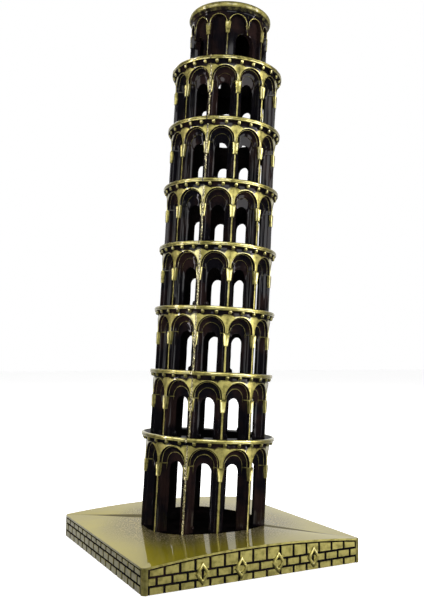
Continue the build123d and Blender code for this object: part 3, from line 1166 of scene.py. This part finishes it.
@dataclass
class Belfry:
    """The narrower top drum: a blind arcade round an inner wall with four doors, under a rim."""

    radius: float = 17.35
    recess: float = 1.9
    wall: float = 2.2
    terrace: float = 200.05
    springing: float = 218.3
    arch_share: float = 0.452
    door_half_width: float = 4.4
    door_springing: float = 210.4
    corbel_level: float = 213.4
    corbel_turn: float = 9.0
    doors: tuple[float, float] = (45.0, 135.0)
    door_turn: float = 20.0
    bay_turn: float = 30.0
    capitals: Sequence[float] = (15.0, 75.0, 105.0, 165.0)
    sunk_foot: float = 0.4
    rim_radius: float = 18.8
    rim_top: float = 227.5
    roof_top: float = 225.6

    def build(self, bm: bmesh.types.BMesh) -> None:
        """Make one half of the belfry.

        Args:
            bm: The half's mesh, upright and unturned.
        """
        self.inner_wall(bm)
        self.screen(bm)
        capital = Capital(width=2.3, height=5.2, proud=0.5, wear=Wear.WORN)
        for angle in self.capitals:
            block = capital.build(bm, self.springing + 0.3)
            lay_round(bm, block, self.radius, [angle], joined=False)
        spin_profile(bm, self.rim_profile(), 72)

    def inner_wall(self, bm: bmesh.types.BMesh) -> None:
        """Make the drum behind the arcade, with a round-headed door in each quarter.

        Args:
            bm: The mesh.
        """
        radius = self.radius - self.recess
        orders = [
            Order(self.door_half_width + 0.3, self.door_springing, 0.0, Wear.SHADED),
            Order(self.door_half_width + 0.24, self.door_springing, -0.12, Wear.RUBBED),
            Order(self.door_half_width + 0.02, self.door_springing, -0.12, Wear.RUBBED),
            Order(self.door_half_width, self.door_springing, 0.1, Wear.HIDDEN),
            Order(self.door_half_width, self.door_springing, self.wall, Wear.HIDDEN),
        ]
        foot, top = self.terrace - self.sunk_foot, self.rim_top - 3.5
        panel = ArchPanel(radius * math.radians(2 * self.door_turn), foot, top, self.wall, orders)
        laid = lay_round(bm, panel.build(bm), radius, self.doors, joined=False)
        layer = bm.verts.layers.float[POLISH]
        plain = (Wear.WORN.value, Wear.EDGE.value)
        rub(bm, [v for v in laid if any(abs(v[layer] - wear) < 0.001 for wear in plain)], Wear.SHADED)
        inner = radius - self.wall
        section = [
            (inner, foot, Wear.HIDDEN),
            (radius, foot, Wear.SHADED),
            (radius, top, Wear.SHADED),
            (inner, top, Wear.HIDDEN),
        ]
        turns = (-self.door_turn, self.door_turn)
        stops = [0.0, *(door + turn for door in self.doors for turn in turns), 180.0]
        for start, end in zip(stops[::2], stops[1::2]):
            wall = spin_profile(bm, section, 12, math.radians(end - start))
            turn = Matrix.Rotation(math.radians(start), 3, "Z")
            bmesh.ops.rotate(bm, cent=(0, 0, 0), matrix=turn, verts=wall)

    def screen(self, bm: bmesh.types.BMesh) -> None:
        """Make the arches and columns, cut short over the doors and at the seam.

        Args:
            bm: The mesh.
        """
        chord = 2 * self.radius * math.sin(math.radians(self.bay_turn / 2))
        half = self.arch_share * chord
        orders = [
            Order(half + 0.22, self.springing, 0.0, Wear.SHADED),
            Order(half + 0.12, self.springing, -0.02, Wear.RUBBED),
            Order(half + 0.07, self.springing, -0.14, Wear.BRIGHT),
            Order(half - 0.08, self.springing, -0.14, Wear.BRIGHT),
            Order(half - 0.16, self.springing, 0.15, Wear.RUBBED),
            Order(half - 0.3, self.springing, 0.3, Wear.HIDDEN),
            Order(half - 0.34, self.springing, self.recess + 0.2, Wear.HIDDEN),
        ]
        known = set(bm.verts)
        panel = ArchPanel(
            self.radius * math.radians(self.bay_turn),
            self.terrace - self.sunk_foot,
            self.rim_top - 4.4,
            self.recess + 0.2,
            orders,
            face_wear=Wear.RUBBED,
            column_wear=Wear.WORN,
        )
        lay_round(bm, panel.build(bm), self.radius, [self.bay_turn * k for k in range(7)])
        made = [vert for vert in bm.verts if vert not in known]
        bmesh.ops.remove_doubles(bm, verts=made, dist=0.002)
        made = [vert for vert in bm.verts if vert not in known]
        cut_and_cap(bm, everything(made), (0, 0, 0), (0, -1, 0))
        for door in self.doors:
            made = [vert for vert in bm.verts if vert not in known]
            turns = {v: math.degrees(math.atan2(v.co.y, v.co.x)) for v in made}
            near = [v for v, turn in turns.items() if abs(turn - door) < self.corbel_turn]
            faces = [f for f in {f for v in near for f in v.link_faces} if all(v in near for v in f.verts)]
            edges = {e for f in faces for e in f.edges}
            cut_and_cap(bm, [*near, *edges, *faces], (0, 0, self.corbel_level), (0, 0, -1))

    def rim_profile(self) -> list[tuple[float, float, Wear]]:
        """Return the section of the frieze, the rim and the roof plate."""
        wall, rim, top = self.radius, self.rim_radius, self.rim_top
        return [
            (0.0, self.roof_top - 1.8, Wear.HIDDEN),
            (wall - self.recess - self.wall, self.roof_top - 1.8, Wear.HIDDEN),
            (wall - self.recess - self.wall, top - 4.5, Wear.HIDDEN),
            (wall, top - 4.5, Wear.RUBBED),
            (wall + 0.03, top - 4.2, Wear.SHADED),
            (wall - 0.3, top - 4.1, Wear.HIDDEN),
            (wall - 0.35, top - 3.8, Wear.HIDDEN),
            (wall, top - 3.65, Wear.RUBBED),
            (wall + 0.25, top - 3.1, Wear.RUBBED),
            (rim - 0.75, top - 2.55, Wear.RUBBED),
            (rim - 0.3, top - 2.35, Wear.WORN),
            (rim - 0.05, top - 1.95, Wear.WORN),
            (rim, top - 1.3, Wear.WORN),
            (rim - 0.05, top - 0.7, Wear.WORN),
            (rim - 0.3, top - 0.25, Wear.BRIGHT),
            (rim - 0.7, top - 0.05, Wear.EDGE),
            (rim - 1.3, top, Wear.WORN),
            (rim - 2.1, top - 0.1, Wear.RUBBED),
            (rim - 2.5, top - 0.6, Wear.SHADED),
            (rim - 2.7, self.roof_top, Wear.SHADED),
            (rim * 0.5, self.roof_top + 0.05, Wear.SHADED),
            (0.0, self.roof_top + 0.1, Wear.SHADED),
        ]


@dataclass(frozen=True)
class RuledTop:
    """The plinth's top, ruled from its middle to two arched edges and two straight ones."""

    side: float = 95.0
    corner: float = 9.9
    arch: float = 12.6
    apex: float = 13.4

    def edge_level(self, x: float, arched: bool) -> float:
        """Return the height of a side's top edge.

        Args:
            x: Distance from the side's middle.
            arched: Whether the side is one of the two arched ones.

        Returns:
            The height in millimetres.
        """
        rise = self.arch - self.corner if arched else 0.0
        return self.corner + rise * (1 - (2 * x / self.side) ** 2)

    def level(self, x: float, y: float) -> float:
        """Return the height of the top at a place.

        Args:
            x: Place across.
            y: Place along.

        Returns:
            The height in millimetres.
        """
        share = 2 * max(abs(x), abs(y)) / self.side
        arched = abs(y) >= abs(x) - 0.0001
        edge = self.edge_level((x if arched else y) / share, arched)
        return self.apex + share * (edge - self.apex)


@dataclass
class Tower:
    """Both soldered halves of the leaning tower."""

    finish: bpy.types.Material
    inside: bpy.types.Material
    solder: bpy.types.Material
    upright: bpy.types.Mesh | None = None
    lean: float = 3.0
    foot_level: float = 11.5
    foot_radius: float = 26.3
    foot_bottom: float = 9.8
    foot_top: float = 12.4
    boss_radius: float = 3.6
    boss_height: float = 3.4
    boss_spot: float = 11.04
    lowest: float = -1.9
    first_lip: float = 37.2
    pitch: float = 27.0
    first_lip_radius: float = 29.1
    overhang: float = 1.8
    wall: float = 4.4
    belfry: Belfry = field(default_factory=Belfry)
    plinth_top: RuledTop = RuledTop()
    foot_clear: float = 0.02
    floor_clear: float = 0.1
    seam_pitch: float = 0.42
    walls: Sequence[float] = (26.9, 25.3, 24.9, 24.5, 24.1, 23.7, 23.3)

    def leaning(self, turn: float) -> Matrix:
        """Return the transform from the upright, unturned tower to its place.

        Args:
            turn: Turn about its axis, in degrees.

        Returns:
            The matrix, in millimetres.
        """
        tilt = Matrix.Rotation(math.radians(self.lean), 4, "Y") @ Matrix.Rotation(math.radians(turn), 4, "Z")
        return Matrix.Translation((0, 0, self.foot_level)) @ tilt

    def lip_level(self, ring: int) -> float:
        """Return the mid-height of a ring lip."""
        return self.first_lip + self.pitch * ring

    def lip_radius(self, ring: int) -> float:
        """Return the outer radius of a ring lip."""
        return self.first_lip_radius if ring == 0 else self.walls[ring] + self.overhang

    def storeys(self) -> list[Storey]:
        """Return the seven arcades from the ground up."""
        made = []
        for number, radius in enumerate(self.walls):
            floor = self.lowest if number == 0 else self.lip_level(number - 1) + 0.85
            made.append(Storey(number, radius, self.lip_level(number), floor))
        return made

    def rings(self) -> list[RingLip]:
        """Return the seven ring lips from the lowest up."""
        made = []
        bore = self.belfry.radius - self.belfry.recess - self.belfry.wall
        for ring, wall in enumerate(self.walls):
            last = ring + 1 == len(self.walls)
            above = self.belfry.radius if last else self.walls[ring + 1]
            bore_above = bore if last else above - self.wall
            below = bore if last else wall - self.wall
            made.append(RingLip(self.lip_level(ring), wall, above, self.lip_radius(ring), below, bore_above))
        return made

    def build_half(self, half: Half) -> bpy.types.Object:
        """Make one casting with its foot.

        Args:
            half: Which of the two.

        Returns:
            The finished piece.
        """
        name, node, turn = half.value
        bm = new_sheet()
        bm.from_mesh(self.upright)
        bmesh.ops.transform(bm, matrix=self.leaning(turn), verts=bm.verts)
        bmesh.ops.remove_doubles(bm, verts=bm.verts, dist=0.002)
        cut_and_cap(bm, [*bm.verts, *bm.edges, *bm.faces], (0, 0, self.foot_bottom), (0, 0, -1))
        self.foot(bm, turn)
        return finish_piece(bm, name, [self.finish, self.inside], [node])

    def cast_upright(self) -> None:
        """Make the upright half that both castings share, part by part."""
        bm = new_sheet()
        for part in (*self.storeys(), *self.rings(), self.belfry):
            sheet = new_sheet()
            part.build(sheet)
            mesh = bpy.data.meshes.new("casting_part")
            sheet.to_mesh(mesh)
            sheet.free()
            bm.from_mesh(mesh)
            bpy.data.meshes.remove(mesh)
        for face in bm.faces:
            if all(math.hypot(*v.co.xy) < self.lining_radius(v.co.z) for v in face.verts):
                face.material_index = 1
        self.upright = bpy.data.meshes.new("upright_casting")
        bm.to_mesh(self.upright)
        bm.free()

    def lining_radius(self, level: float) -> float:
        """Return the radius within which the casting is left raw, at a level."""
        storey = min(len(self.walls) - 1, max(0, int((level - self.first_lip) // self.pitch) + 1))
        wall = self.walls[storey] if level < self.belfry.terrace else self.belfry.radius
        return wall - self.wall + 0.6

    def foot(self, bm: bmesh.types.BMesh, turn: float) -> None:
        """Make the level half-disc that the columns stand on, with its screw boss.

        Args:
            bm: The half's mesh.
            turn: Turn of the half about the axis, in degrees.
        """
        edge = self.foot_radius
        profile = [
            (0.0, self.foot_bottom, Wear.HIDDEN),
            (edge, self.foot_bottom, Wear.HIDDEN),
            (edge, self.foot_top, Wear.SHADED),
            (edge - 0.6, self.foot_top, Wear.HIDDEN),
            (edge - 1.5, self.foot_top, Wear.HIDDEN),
            (edge * 0.5, self.foot_top, Wear.HIDDEN),
            (0.0, self.foot_top, Wear.HIDDEN),
        ]
        disc = spin_profile(bm, profile, 72)
        for face in {face for vert in disc for face in vert.link_faces}:
            face.material_index = 1
        matrix = Matrix.Rotation(math.radians(turn), 3, "Z")
        bmesh.ops.rotate(bm, cent=(0, 0, 0), matrix=matrix, verts=disc)
        for vert in disc:
            reach = vert.co.xy.length
            if vert.co.z > self.foot_bottom + 1 and reach > edge * 0.9:
                clear = self.foot_clear if reach > edge - 1 else self.floor_clear
                vert.co.z = self.plinth_top.level(vert.co.x, vert.co.y) - clear
        side = math.copysign(1.0, -turn)
        spot = (side * self.boss_spot, -side * self.boss_spot, self.foot_top + self.boss_height / 2)
        boss = bmesh.ops.create_cone(
            bm,
            cap_ends=True,
            segments=32,
            radius1=self.boss_radius + 0.3,
            radius2=self.boss_radius,
            depth=self.boss_height,
            matrix=Matrix.Translation(spot),
        )
        rub(bm, boss["verts"], Wear.HIDDEN)
        for face in {face for vert in boss["verts"] for face in vert.link_faces}:
            face.material_index = 1

    def build_seam(self, name: str, node: str, angle: float) -> bpy.types.Object:
        """Make the granular solder up one seam: on each column, capital and lip.

        Args:
            name: The piece's name.
            node: The CAD node that it stands for.
            angle: Where the seam is, in degrees on the front half.

        Returns:
            The finished piece.
        """
        bm = new_sheet()
        for storey in self.storeys():
            wall, block = storey.radius, storey.capital_top
            self.bead(bm, wall + 0.02, storey.floor + 0.1, block - 5.2, 0.36, angle)
            self.bead(bm, wall + 0.5, block - 5.4, block - 0.1, 0.62, angle)
            self.bead(bm, wall - 0.1, block - 0.2, storey.top + 0.6, 0.4, angle)
            lip = self.lip_radius(storey.number)
            self.bead(bm, lip - 0.12, storey.lip_level - 0.75, storey.lip_level + 0.8, 0.42, angle)
        bmesh.ops.transform(bm, matrix=self.leaning(Half.FRONT.value[2]), verts=bm.verts)
        return finish_piece(bm, name, [self.solder], [node], crease=50.0)

    def bead(
        self, bm: bmesh.types.BMesh, reach: float, low: float, high: float, size: float, angle: float
    ) -> None:
        """Draw one lumpy run of solder upwards.

        Args:
            bm: The mesh.
            reach: Distance from the axis.
            low: Level of its lower end.
            high: Level of its upper end.
            size: Half its width.
            angle: Where it is, in degrees.
        """
        turn = Matrix.Rotation(math.radians(angle), 4, "Z")
        known = set(bm.verts)
        start = bmesh.ops.create_circle(
            bm, cap_ends=True, radius=size, segments=8, matrix=turn @ Matrix.Translation((reach, 0, low))
        )
        edges = list({edge for vert in start["verts"] for edge in vert.link_edges})
        count = max(2, round((high - low) / self.seam_pitch))
        for _ in range(count):
            verts, edges = push_chain(bm, edges)
            bmesh.ops.translate(bm, vec=(0, 0, (high - low) / count), verts=verts)
        bmesh.ops.holes_fill(bm, edges=edges, sides=0)
        made = [vert for vert in bm.verts if vert not in known]
        roughen(made, 0.55, 0.3, angle)
        roughen(made, 1.9, 0.22, reach)


# ---- plinth --------------------------------------------------------------------------------


@dataclass
class Plinth:
    """The hollow square plinth: pillowed bricks on dark mortar under an arched, creased top."""

    finish: bpy.types.Material
    top_finish: bpy.types.Material
    top: RuledTop = RuledTop()
    bottom: float = 0.5
    pocket_radius: float = 26.32
    pocket_floor: float = 9.8
    courses: Sequence[float] = (0.5, 3.4, 6.6)
    groove: float = 0.62
    upright_extra: float = 0.08
    bevel: float = 0.15
    corner_radius: float = 1.85
    groove_depth: float = 0.5
    post: float = 2.3
    bricks: int = 15
    band: float = 0.75
    pad_side: float = 90.4
    pad_top: float = 1.5
    ornament_pitch: float = 16.2
    ornament_size: Point = (5.8, 8.2)
    ornament_level: float = 5.4
    ornament_stroke: float = 1.15
    divisions: int = 32
    top_shares: Sequence[float] = (0.012, 0.35, 0.7, 1.0)
    ornaments_count: int = 4
    ornament_rise: float = 0.6
    ornament_round: float = 0.28
    brick_root: float = 0.3
    brick_set_back: float = 0.03
    pillow: float = 0.33
    plain_side_extra: float = 2.5

    def build(self) -> bpy.types.Object:
        """Return the finished piece."""
        bm = new_sheet()
        self.body(bm)
        for turn, arched in ((0, True), (90, False), (180, True), (270, False)):
            known = set(bm.verts)
            self.brickwork(bm, arched)
            if turn == 0:
                self.ornaments(bm)
            made = [vert for vert in bm.verts if vert not in known]
            matrix = Matrix.Rotation(math.radians(turn), 3, "Z")
            bmesh.ops.rotate(bm, cent=(0, 0, 0), matrix=matrix, verts=made)
        finishes = [self.finish, self.top_finish]
        return finish_piece(bm, "brick_plinth", finishes, ["base_plinth"], crease=28.0)

    def body(self, bm: bmesh.types.BMesh) -> None:
        """Make the plinth's closed body, outwards and inwards from its top edge.

        Args:
            bm: The mesh.
        """
        bmesh.ops.create_grid(bm, x_segments=1, y_segments=1, size=self.top.side / 2)
        bmesh.ops.bevel(
            bm,
            geom=list(bm.verts),
            offset=self.corner_radius,
            segments=4,
            profile=0.5,
            affect="VERTICES",
            material=-1,
        )
        bmesh.ops.delete(bm, geom=list(bm.faces), context="FACES_ONLY")
        sides = [edge for edge in bm.edges if edge.calc_length() > self.top.side / 2]
        bmesh.ops.subdivide_edges(bm, edges=sides, cuts=self.divisions - 1)
        rim = list(bm.edges)
        for vert in bm.verts:
            arched = abs(vert.co.y) >= abs(vert.co.x)
            vert.co.z = self.top.edge_level(vert.co.x if arched else vert.co.y, arched)
        rub(bm, bm.verts, Wear.BRIGHT)
        chain = self.inwards(bm, rim)
        lacquered = {face for face in bm.faces if face.material_index == 1}
        self.close_floor(bm, chain, self.pocket_floor)
        half = self.top.side / 2
        steps = [
            (half, None, self.band, Wear.BRIGHT),
            (half - self.groove_depth, None, self.band + 0.1, Wear.HIDDEN),
            (half - self.groove_depth, self.bottom, 0.0, Wear.HIDDEN),
            (self.pad_side / 2, self.bottom, 0.0, Wear.HIDDEN),
            (self.pad_side / 2, self.pad_top, 0.0, Wear.HIDDEN),
        ]
        chain, reach, drop = rim, half, 0.0
        for new_reach, level, new_drop, wear in steps:
            verts, chain = push_chain(bm, chain)
            bmesh.ops.scale(bm, vec=(new_reach / reach, new_reach / reach, 1), verts=verts)
            if level is None:
                bmesh.ops.translate(bm, vec=(0, 0, drop - new_drop), verts=verts)
            else:
                for vert in verts:
                    vert.co.z = level
            rub(bm, verts, wear)
            reach, drop = new_reach, new_drop
        self.close_floor(bm, chain, self.pad_top)
        for face in bm.faces:
            face.material_index = 1 if face in lacquered else 0

    def inwards(self, bm: bmesh.types.BMesh, rim: list) -> list:
        """Rule the top from the rounded edge towards the apex, as far as the foot's pocket.

        Args:
            bm: The mesh.
            rim: The top edge.

        Returns:
            The chain at the pocket's floor.
        """
        chain, done = rim, 0.0
        for share in self.top_shares:
            verts, chain = push_chain(bm, chain)
            for vert in verts:
                flat = vert.co.xy.length
                edge = (flat - done * self.pocket_radius) / (1 - done)
                start = Vector((vert.co.x / flat * edge, vert.co.y / flat * edge))
                goal = edge + share * (self.pocket_radius - edge)
                arched = abs(vert.co.y) >= abs(vert.co.x) - 0.0001
                rim_level = self.top.edge_level(start.x if arched else start.y, arched)
                level = self.top.apex + goal / edge * (rim_level - self.top.apex)
                vert.co = (vert.co.x / flat * goal, vert.co.y / flat * goal, level)
            rub(bm, verts, Wear.BRIGHT)
            done = share
        for face in bm.faces:
            face.material_index = 1
        verts, chain = push_chain(bm, chain)
        for vert in verts:
            vert.co.z = self.pocket_floor
        rub(bm, verts, Wear.HIDDEN)
        return chain

    def close_floor(self, bm: bmesh.types.BMesh, chain: list, level: float) -> None:
        """Close a chain with a level floor drawn in to its middle.

        Args:
            bm: The mesh.
            chain: The closed chain.
            level: Height of the floor.
        """
        verts, _ = push_chain(bm, chain)
        for vert in verts:
            vert.co.z = level
        bmesh.ops.pointmerge(bm, verts=verts, merge_co=(0, 0, level))

    def brickwork(self, bm: bmesh.types.BMesh, arched: bool) -> None:
        """Make the bricks and the corner post of the side that faces -Y.

        Args:
            bm: The mesh.
            arched: Whether its top edge is arched.
        """
        run = self.top.side / 2 - self.post
        pitch = 2 * run / self.bricks
        gap = self.groove / 2
        aside = gap + self.upright_extra * (1.0 if arched else self.plain_side_extra)
        for course, low in enumerate(self.courses):
            last = course == len(self.courses) - 1
            high = None if last else self.courses[course + 1] - gap
            foot = low if course == 0 else low + gap
            shift = pitch / 2 if course == 1 else 0.0
            for k in range(self.bricks + (1 if shift else 0)):
                left = max(-run - 2 * gap, -run + k * pitch - shift)
                right = min(run + 2 * gap, -run + (k + 1) * pitch - shift)
                ends = (left + aside, right - aside)
                self.brick(bm, ends, foot, high, arched)
        self.corner_post(bm, run + gap)

    def corner_post(self, bm: bmesh.types.BMesh, inner: float) -> None:
        """Make the plain rounded post at the left end of the side that faces -Y.

        Args:
            bm: The mesh.
            inner: Distance of its inner faces from the middle.
        """
        outer = self.top.side / 2
        middle, size = -(inner + outer) / 2, outer - inner
        height = self.top.corner - self.band * 0.5 - self.bottom
        post = add_block(bm, (middle, middle, self.bottom + height / 2), (size, size, height))
        rub(bm, post, Wear.BRIGHT)
        corner = [
            edge
            for edge in {edge for vert in post for edge in vert.link_edges}
            if all(vert.co.x < -outer + 0.01 and vert.co.y < -outer + 0.01 for vert in edge.verts)
        ]
        round_edges(bm, corner, self.corner_radius - 0.02, 4)

    def brick(
        self,
        bm: bmesh.types.BMesh,
        ends: Point,
        low: float,
        high: float | None,
        arched: bool,
    ) -> None:
        """Make one pillowed brick on the side that faces -Y.

        Args:
            bm: The mesh.
            ends: Its left and right ends.
            low: Its underside.
            high: Its top, or nothing where it follows the side's top edge.
            arched: Whether that edge is arched.
        """
        left, right = ends
        depth = self.groove_depth + self.brick_root
        middle = ((left + right) / 2, -self.top.side / 2 + self.brick_set_back + depth / 2, low + 0.5)
        block = add_block(bm, middle, (right - left, depth, 1))
        shy = self.band + self.groove * 0.75
        for vert in block:
            if vert.co.z > low + 0.5:
                vert.co.z = high if high is not None else self.top.edge_level(vert.co.x, arched) - shy
        faces = list({face for vert in block for face in vert.link_faces})
        rub(bm, block, Wear.HIDDEN)
        front = min(faces, key=lambda f: f.calc_center_median().y)
        inset = bmesh.ops.inset_region(
            bm, faces=[front], thickness=self.bevel, depth=0.0, use_even_offset=True
        )
        rub(bm, front.verts, Wear.BRIGHT)
        outer = [v for f in inset["faces"] for v in f.verts if v not in front.verts]
        bmesh.ops.translate(bm, vec=(0, self.pillow, 0), verts=list(set(outer)))

    def ornaments(self, bm: bmesh.types.BMesh) -> None:
        """Make the four raised lozenges on the side that faces -Y.

        Args:
            bm: The mesh.
        """
        width, height = self.ornament_size
        for k in range(self.ornaments_count):
            x = (k - (self.ornaments_count - 1) / 2) * self.ornament_pitch
            place = Matrix.Translation((x, -self.top.side / 2 + self.groove_depth + 0.1, self.ornament_level))
            turn = Matrix.Rotation(math.radians(90), 4, "X")
            shape = place @ Matrix.Diagonal((width / 2, 1, height / 2, 1)) @ turn
            ring = bmesh.ops.create_circle(bm, cap_ends=True, radius=1, segments=4, matrix=shape)
            face = list({f for v in ring["verts"] for f in v.link_faces})
            rub(bm, ring["verts"], Wear.SHADED)
            stroke = bmesh.ops.inset_region(
                bm,
                faces=face,
                thickness=self.ornament_stroke,
                depth=0.0,
                use_even_offset=True,
                use_boundary=True,
            )["faces"]
            bmesh.ops.delete(bm, geom=face, context="FACES_ONLY")
            crest = points_of(bmesh.ops.extrude_face_region(bm, geom=stroke, use_keep_orig=True)["geom"])
            bmesh.ops.translate(bm, vec=(0, -self.groove_depth - self.ornament_rise, 0), verts=crest)
            rub(bm, crest, Wear.BRIGHT)
            fresh = set(crest)
            edges = {edge for vert in crest for edge in vert.link_edges if edge.other_vert(vert) in fresh}
            ends = [edge for edge in edges if edge.calc_face_angle(0.0) > math.radians(60)]
            round_edges(bm, ends, self.ornament_round, 2)


@dataclass
class FeltPad:
    """The thin pad glued under the plinth."""

    finish: bpy.types.Material
    side: float = 90.0
    thickness: float = 1.5
    corner: float = 1.85
    edge_round: float = 0.25

    def build(self) -> bpy.types.Object:
        """Return the finished piece."""
        bm = new_sheet()
        add_block(bm, (0, 0, self.thickness / 2), (self.side, self.side, self.thickness))
        upright = [e for e in bm.edges if abs(e.verts[0].co.z - e.verts[1].co.z) > 1]
        round_edges(bm, upright, self.corner, 5)
        level = [e for e in bm.edges if abs(e.verts[0].co.z - e.verts[1].co.z) < 0.01]
        round_edges(bm, level, self.edge_round, 2)
        return finish_piece(bm, "felt_pad", [self.finish], ["base_pad"])


# ---- studio --------------------------------------------------------------------------------


@dataclass(frozen=True)
class SoftBox:
    """A soft light: place, width, strength, colour and, for a tall strip, height."""

    name: str
    place: tuple[float, float, float]
    size: float
    power: float
    colour: Colour = (1.0, 1.0, 1.0)
    height: float | None = None


@dataclass
class Studio:
    """Pale floor, bright surroundings, soft lights and the camera."""

    camera_place: tuple[float, float, float] = (-0.14476, -0.28448, 0.08428)
    azimuth: float = -27.595
    elevation: float = -4.067
    roll: float = 0.4
    lens: float = 43.24
    shift: Point = (-0.00138, 0.00463)
    aim: tuple[float, float, float] = (0.005, 0.0, 0.12)
    fade: Point = (0.35, 0.9)
    glow: Point = (0.035, 0.95)
    boxes: Sequence[SoftBox] = (
        SoftBox("key_right", (0.5, -0.85, 0.25), 0.6, 10.0),
        SoftBox("front", (-0.38, -0.9, 0.45), 0.45, 6.5),
        SoftBox("fill_left", (-0.9, -0.25, 0.3), 0.4, 3.5),
        SoftBox("strip_right", (0.67, -0.6, 0.3), 0.05, 5.0, (1.0, 0.94, 0.96), 0.9),
        SoftBox("strip_left", (-0.88, 0.19, 0.3), 0.05, 5.0, (1.0, 0.94, 0.96), 0.9),
        SoftBox("top_back", (0.1, 0.7, 0.9), 0.7, 4.0),
    )

    def build(self) -> None:
        """Set up the whole studio."""
        self.floor()
        self.surroundings()
        for box in self.boxes:
            self.light(box)
        self.camera()
        bpy.context.scene.view_settings.view_transform = "Standard"

    def floor(self) -> None:
        """Lay the floor, which isn't part of the object."""
        bm = bmesh.new()
        bmesh.ops.create_grid(bm, x_segments=1, y_segments=1, size=3.0)
        mesh = bpy.data.meshes.new("studio_floor")
        bm.to_mesh(mesh)
        bm.free()
        floor = bpy.data.objects.new("studio_floor", mesh)
        mesh.materials.append(Paper().build())
        bpy.context.scene.collection.objects.link(floor)
        floor.visible_glossy = False

    def surroundings(self) -> None:
        """Make the surroundings white, and dimmer on the viewer's side for what they light."""
        world = bpy.data.worlds.new("studio")
        bpy.context.scene.world = world
        world.use_nodes = True
        tree = world.node_tree
        shade = tree.nodes["Background"]
        way = tree.nodes.new("ShaderNodeTexCoord").outputs["Generated"]
        dot = tree.nodes.new("ShaderNodeVectorMath")
        dot.operation = "DOT_PRODUCT"
        tree.links.new(way, dot.inputs[0])
        dot.inputs[1].default_value = self.ahead()
        spread = tree.nodes.new("ShaderNodeMapRange")
        spread.interpolation_type = "SMOOTHSTEP"
        spread.inputs["From Min"].default_value, spread.inputs["From Max"].default_value = self.fade
        spread.inputs["To Min"].default_value, spread.inputs["To Max"].default_value = self.glow
        tree.links.new(dot.outputs["Value"], spread.inputs["Value"])
        path = tree.nodes.new("ShaderNodeLightPath")
        pick = tree.nodes.new("ShaderNodeMath")
        pick.operation = "MAXIMUM"
        tree.links.new(spread.outputs["Result"], pick.inputs[0])
        tree.links.new(path.outputs["Is Camera Ray"], pick.inputs[1])
        tree.links.new(pick.outputs[0], shade.inputs["Strength"])
        shade.inputs["Color"].default_value = (1.0, 1.0, 1.0, 1.0)

    def light(self, box: SoftBox) -> None:
        """Hang one soft light and aim it at the tower.

        Args:
            box: The light.
        """
        lamp = bpy.data.lights.new(box.name, "AREA")
        lamp.size = box.size
        lamp.energy = box.power
        lamp.color = box.colour
        if box.height is not None:
            lamp.shape = "RECTANGLE"
            lamp.size_y = box.height
        holder = bpy.data.objects.new(box.name, lamp)
        holder.location = box.place
        aim = Vector(self.aim) - Vector(box.place)
        holder.rotation_euler = aim.to_track_quat("-Z", "Y").to_euler()
        bpy.context.scene.collection.objects.link(holder)

    def ahead(self) -> Vector:
        """Return the direction in which the camera looks."""
        turn, rise = math.radians(-self.azimuth), math.radians(-self.elevation)
        return Vector((math.sin(turn) * math.cos(rise), math.cos(turn) * math.cos(rise), math.sin(rise)))

    def camera(self) -> None:
        """Place the camera."""
        ahead, roll = self.ahead(), math.radians(self.roll)
        level = ahead.cross(Vector((0, 0, 1))).normalized()
        above = level.cross(ahead)
        right = level * math.cos(roll) + above * math.sin(roll)
        up = above * math.cos(roll) - level * math.sin(roll)
        lens = bpy.data.cameras.new("camera")
        lens.lens = self.lens
        lens.sensor_width = 36.0
        lens.shift_x, lens.shift_y = self.shift
        lens.clip_start = 0.005
        holder = bpy.data.objects.new("camera", lens)
        pose = Matrix((right, up, -ahead)).transposed().to_4x4()
        holder.matrix_world = Matrix.Translation(self.camera_place) @ pose
        bpy.context.scene.collection.objects.link(holder)
        bpy.context.scene.camera = holder


def dress_node(name: str, finish: bpy.types.Material) -> None:
    """Give a CAD node that keeps its shape a finish of its own.

    Args:
        name: The node.
        finish: Its material.
    """
    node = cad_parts[name]
    for slot in node.material_slots:
        slot.material = finish
    if not node.material_slots:
        node.data.materials.append(finish)
    LOG.info("%s: keeps its CAD shape, finished in %s", name, finish.name)


def main() -> None:
    """Build every piece, dress the kept nodes and set up the studio."""
    logging.basicConfig(level=logging.INFO, format="%(name)s %(message)s")
    # Without a seed, mathutils.noise draws its offsets from the clock and each run differs.
    noise.seed_set(LUMP_SEED)
    Studio().build()
    raw = AntiqueBrass(
        "raw_casting",
        black=(0.0015, 0.0015, 0.0015),
        umber=(0.004, 0.003, 0.003),
        lacquer=0.2,
        lacquer_in_hollows=0.0,
    )
    tower = Tower(AntiqueBrass("antique_brass_tower").build(), raw.build(), SolderFinish().build())
    tower.cast_upright()
    for half in Half:
        tower.build_half(half)
    tower.build_seam("solder_left", "solder_seam_left", 0.0)
    tower.build_seam("solder_right", "solder_seam_right", 180.0)
    Plinth(AntiqueBrass("antique_brass_base", break_up=0.16).build(), LacqueredTop().build()).build()
    FeltPad(Felt().build()).build()
    dress_node("dowel_pins", PlatedSteel("ground_steel").build())
    dress_node("base_screws", PlatedSteel("plated_steel").build())
    dress_node("screw_washers", PlatedSteel("plated_washer", dark=(0.5, 0.5, 0.5)).build())


if __name__ == "__main__":
    main()
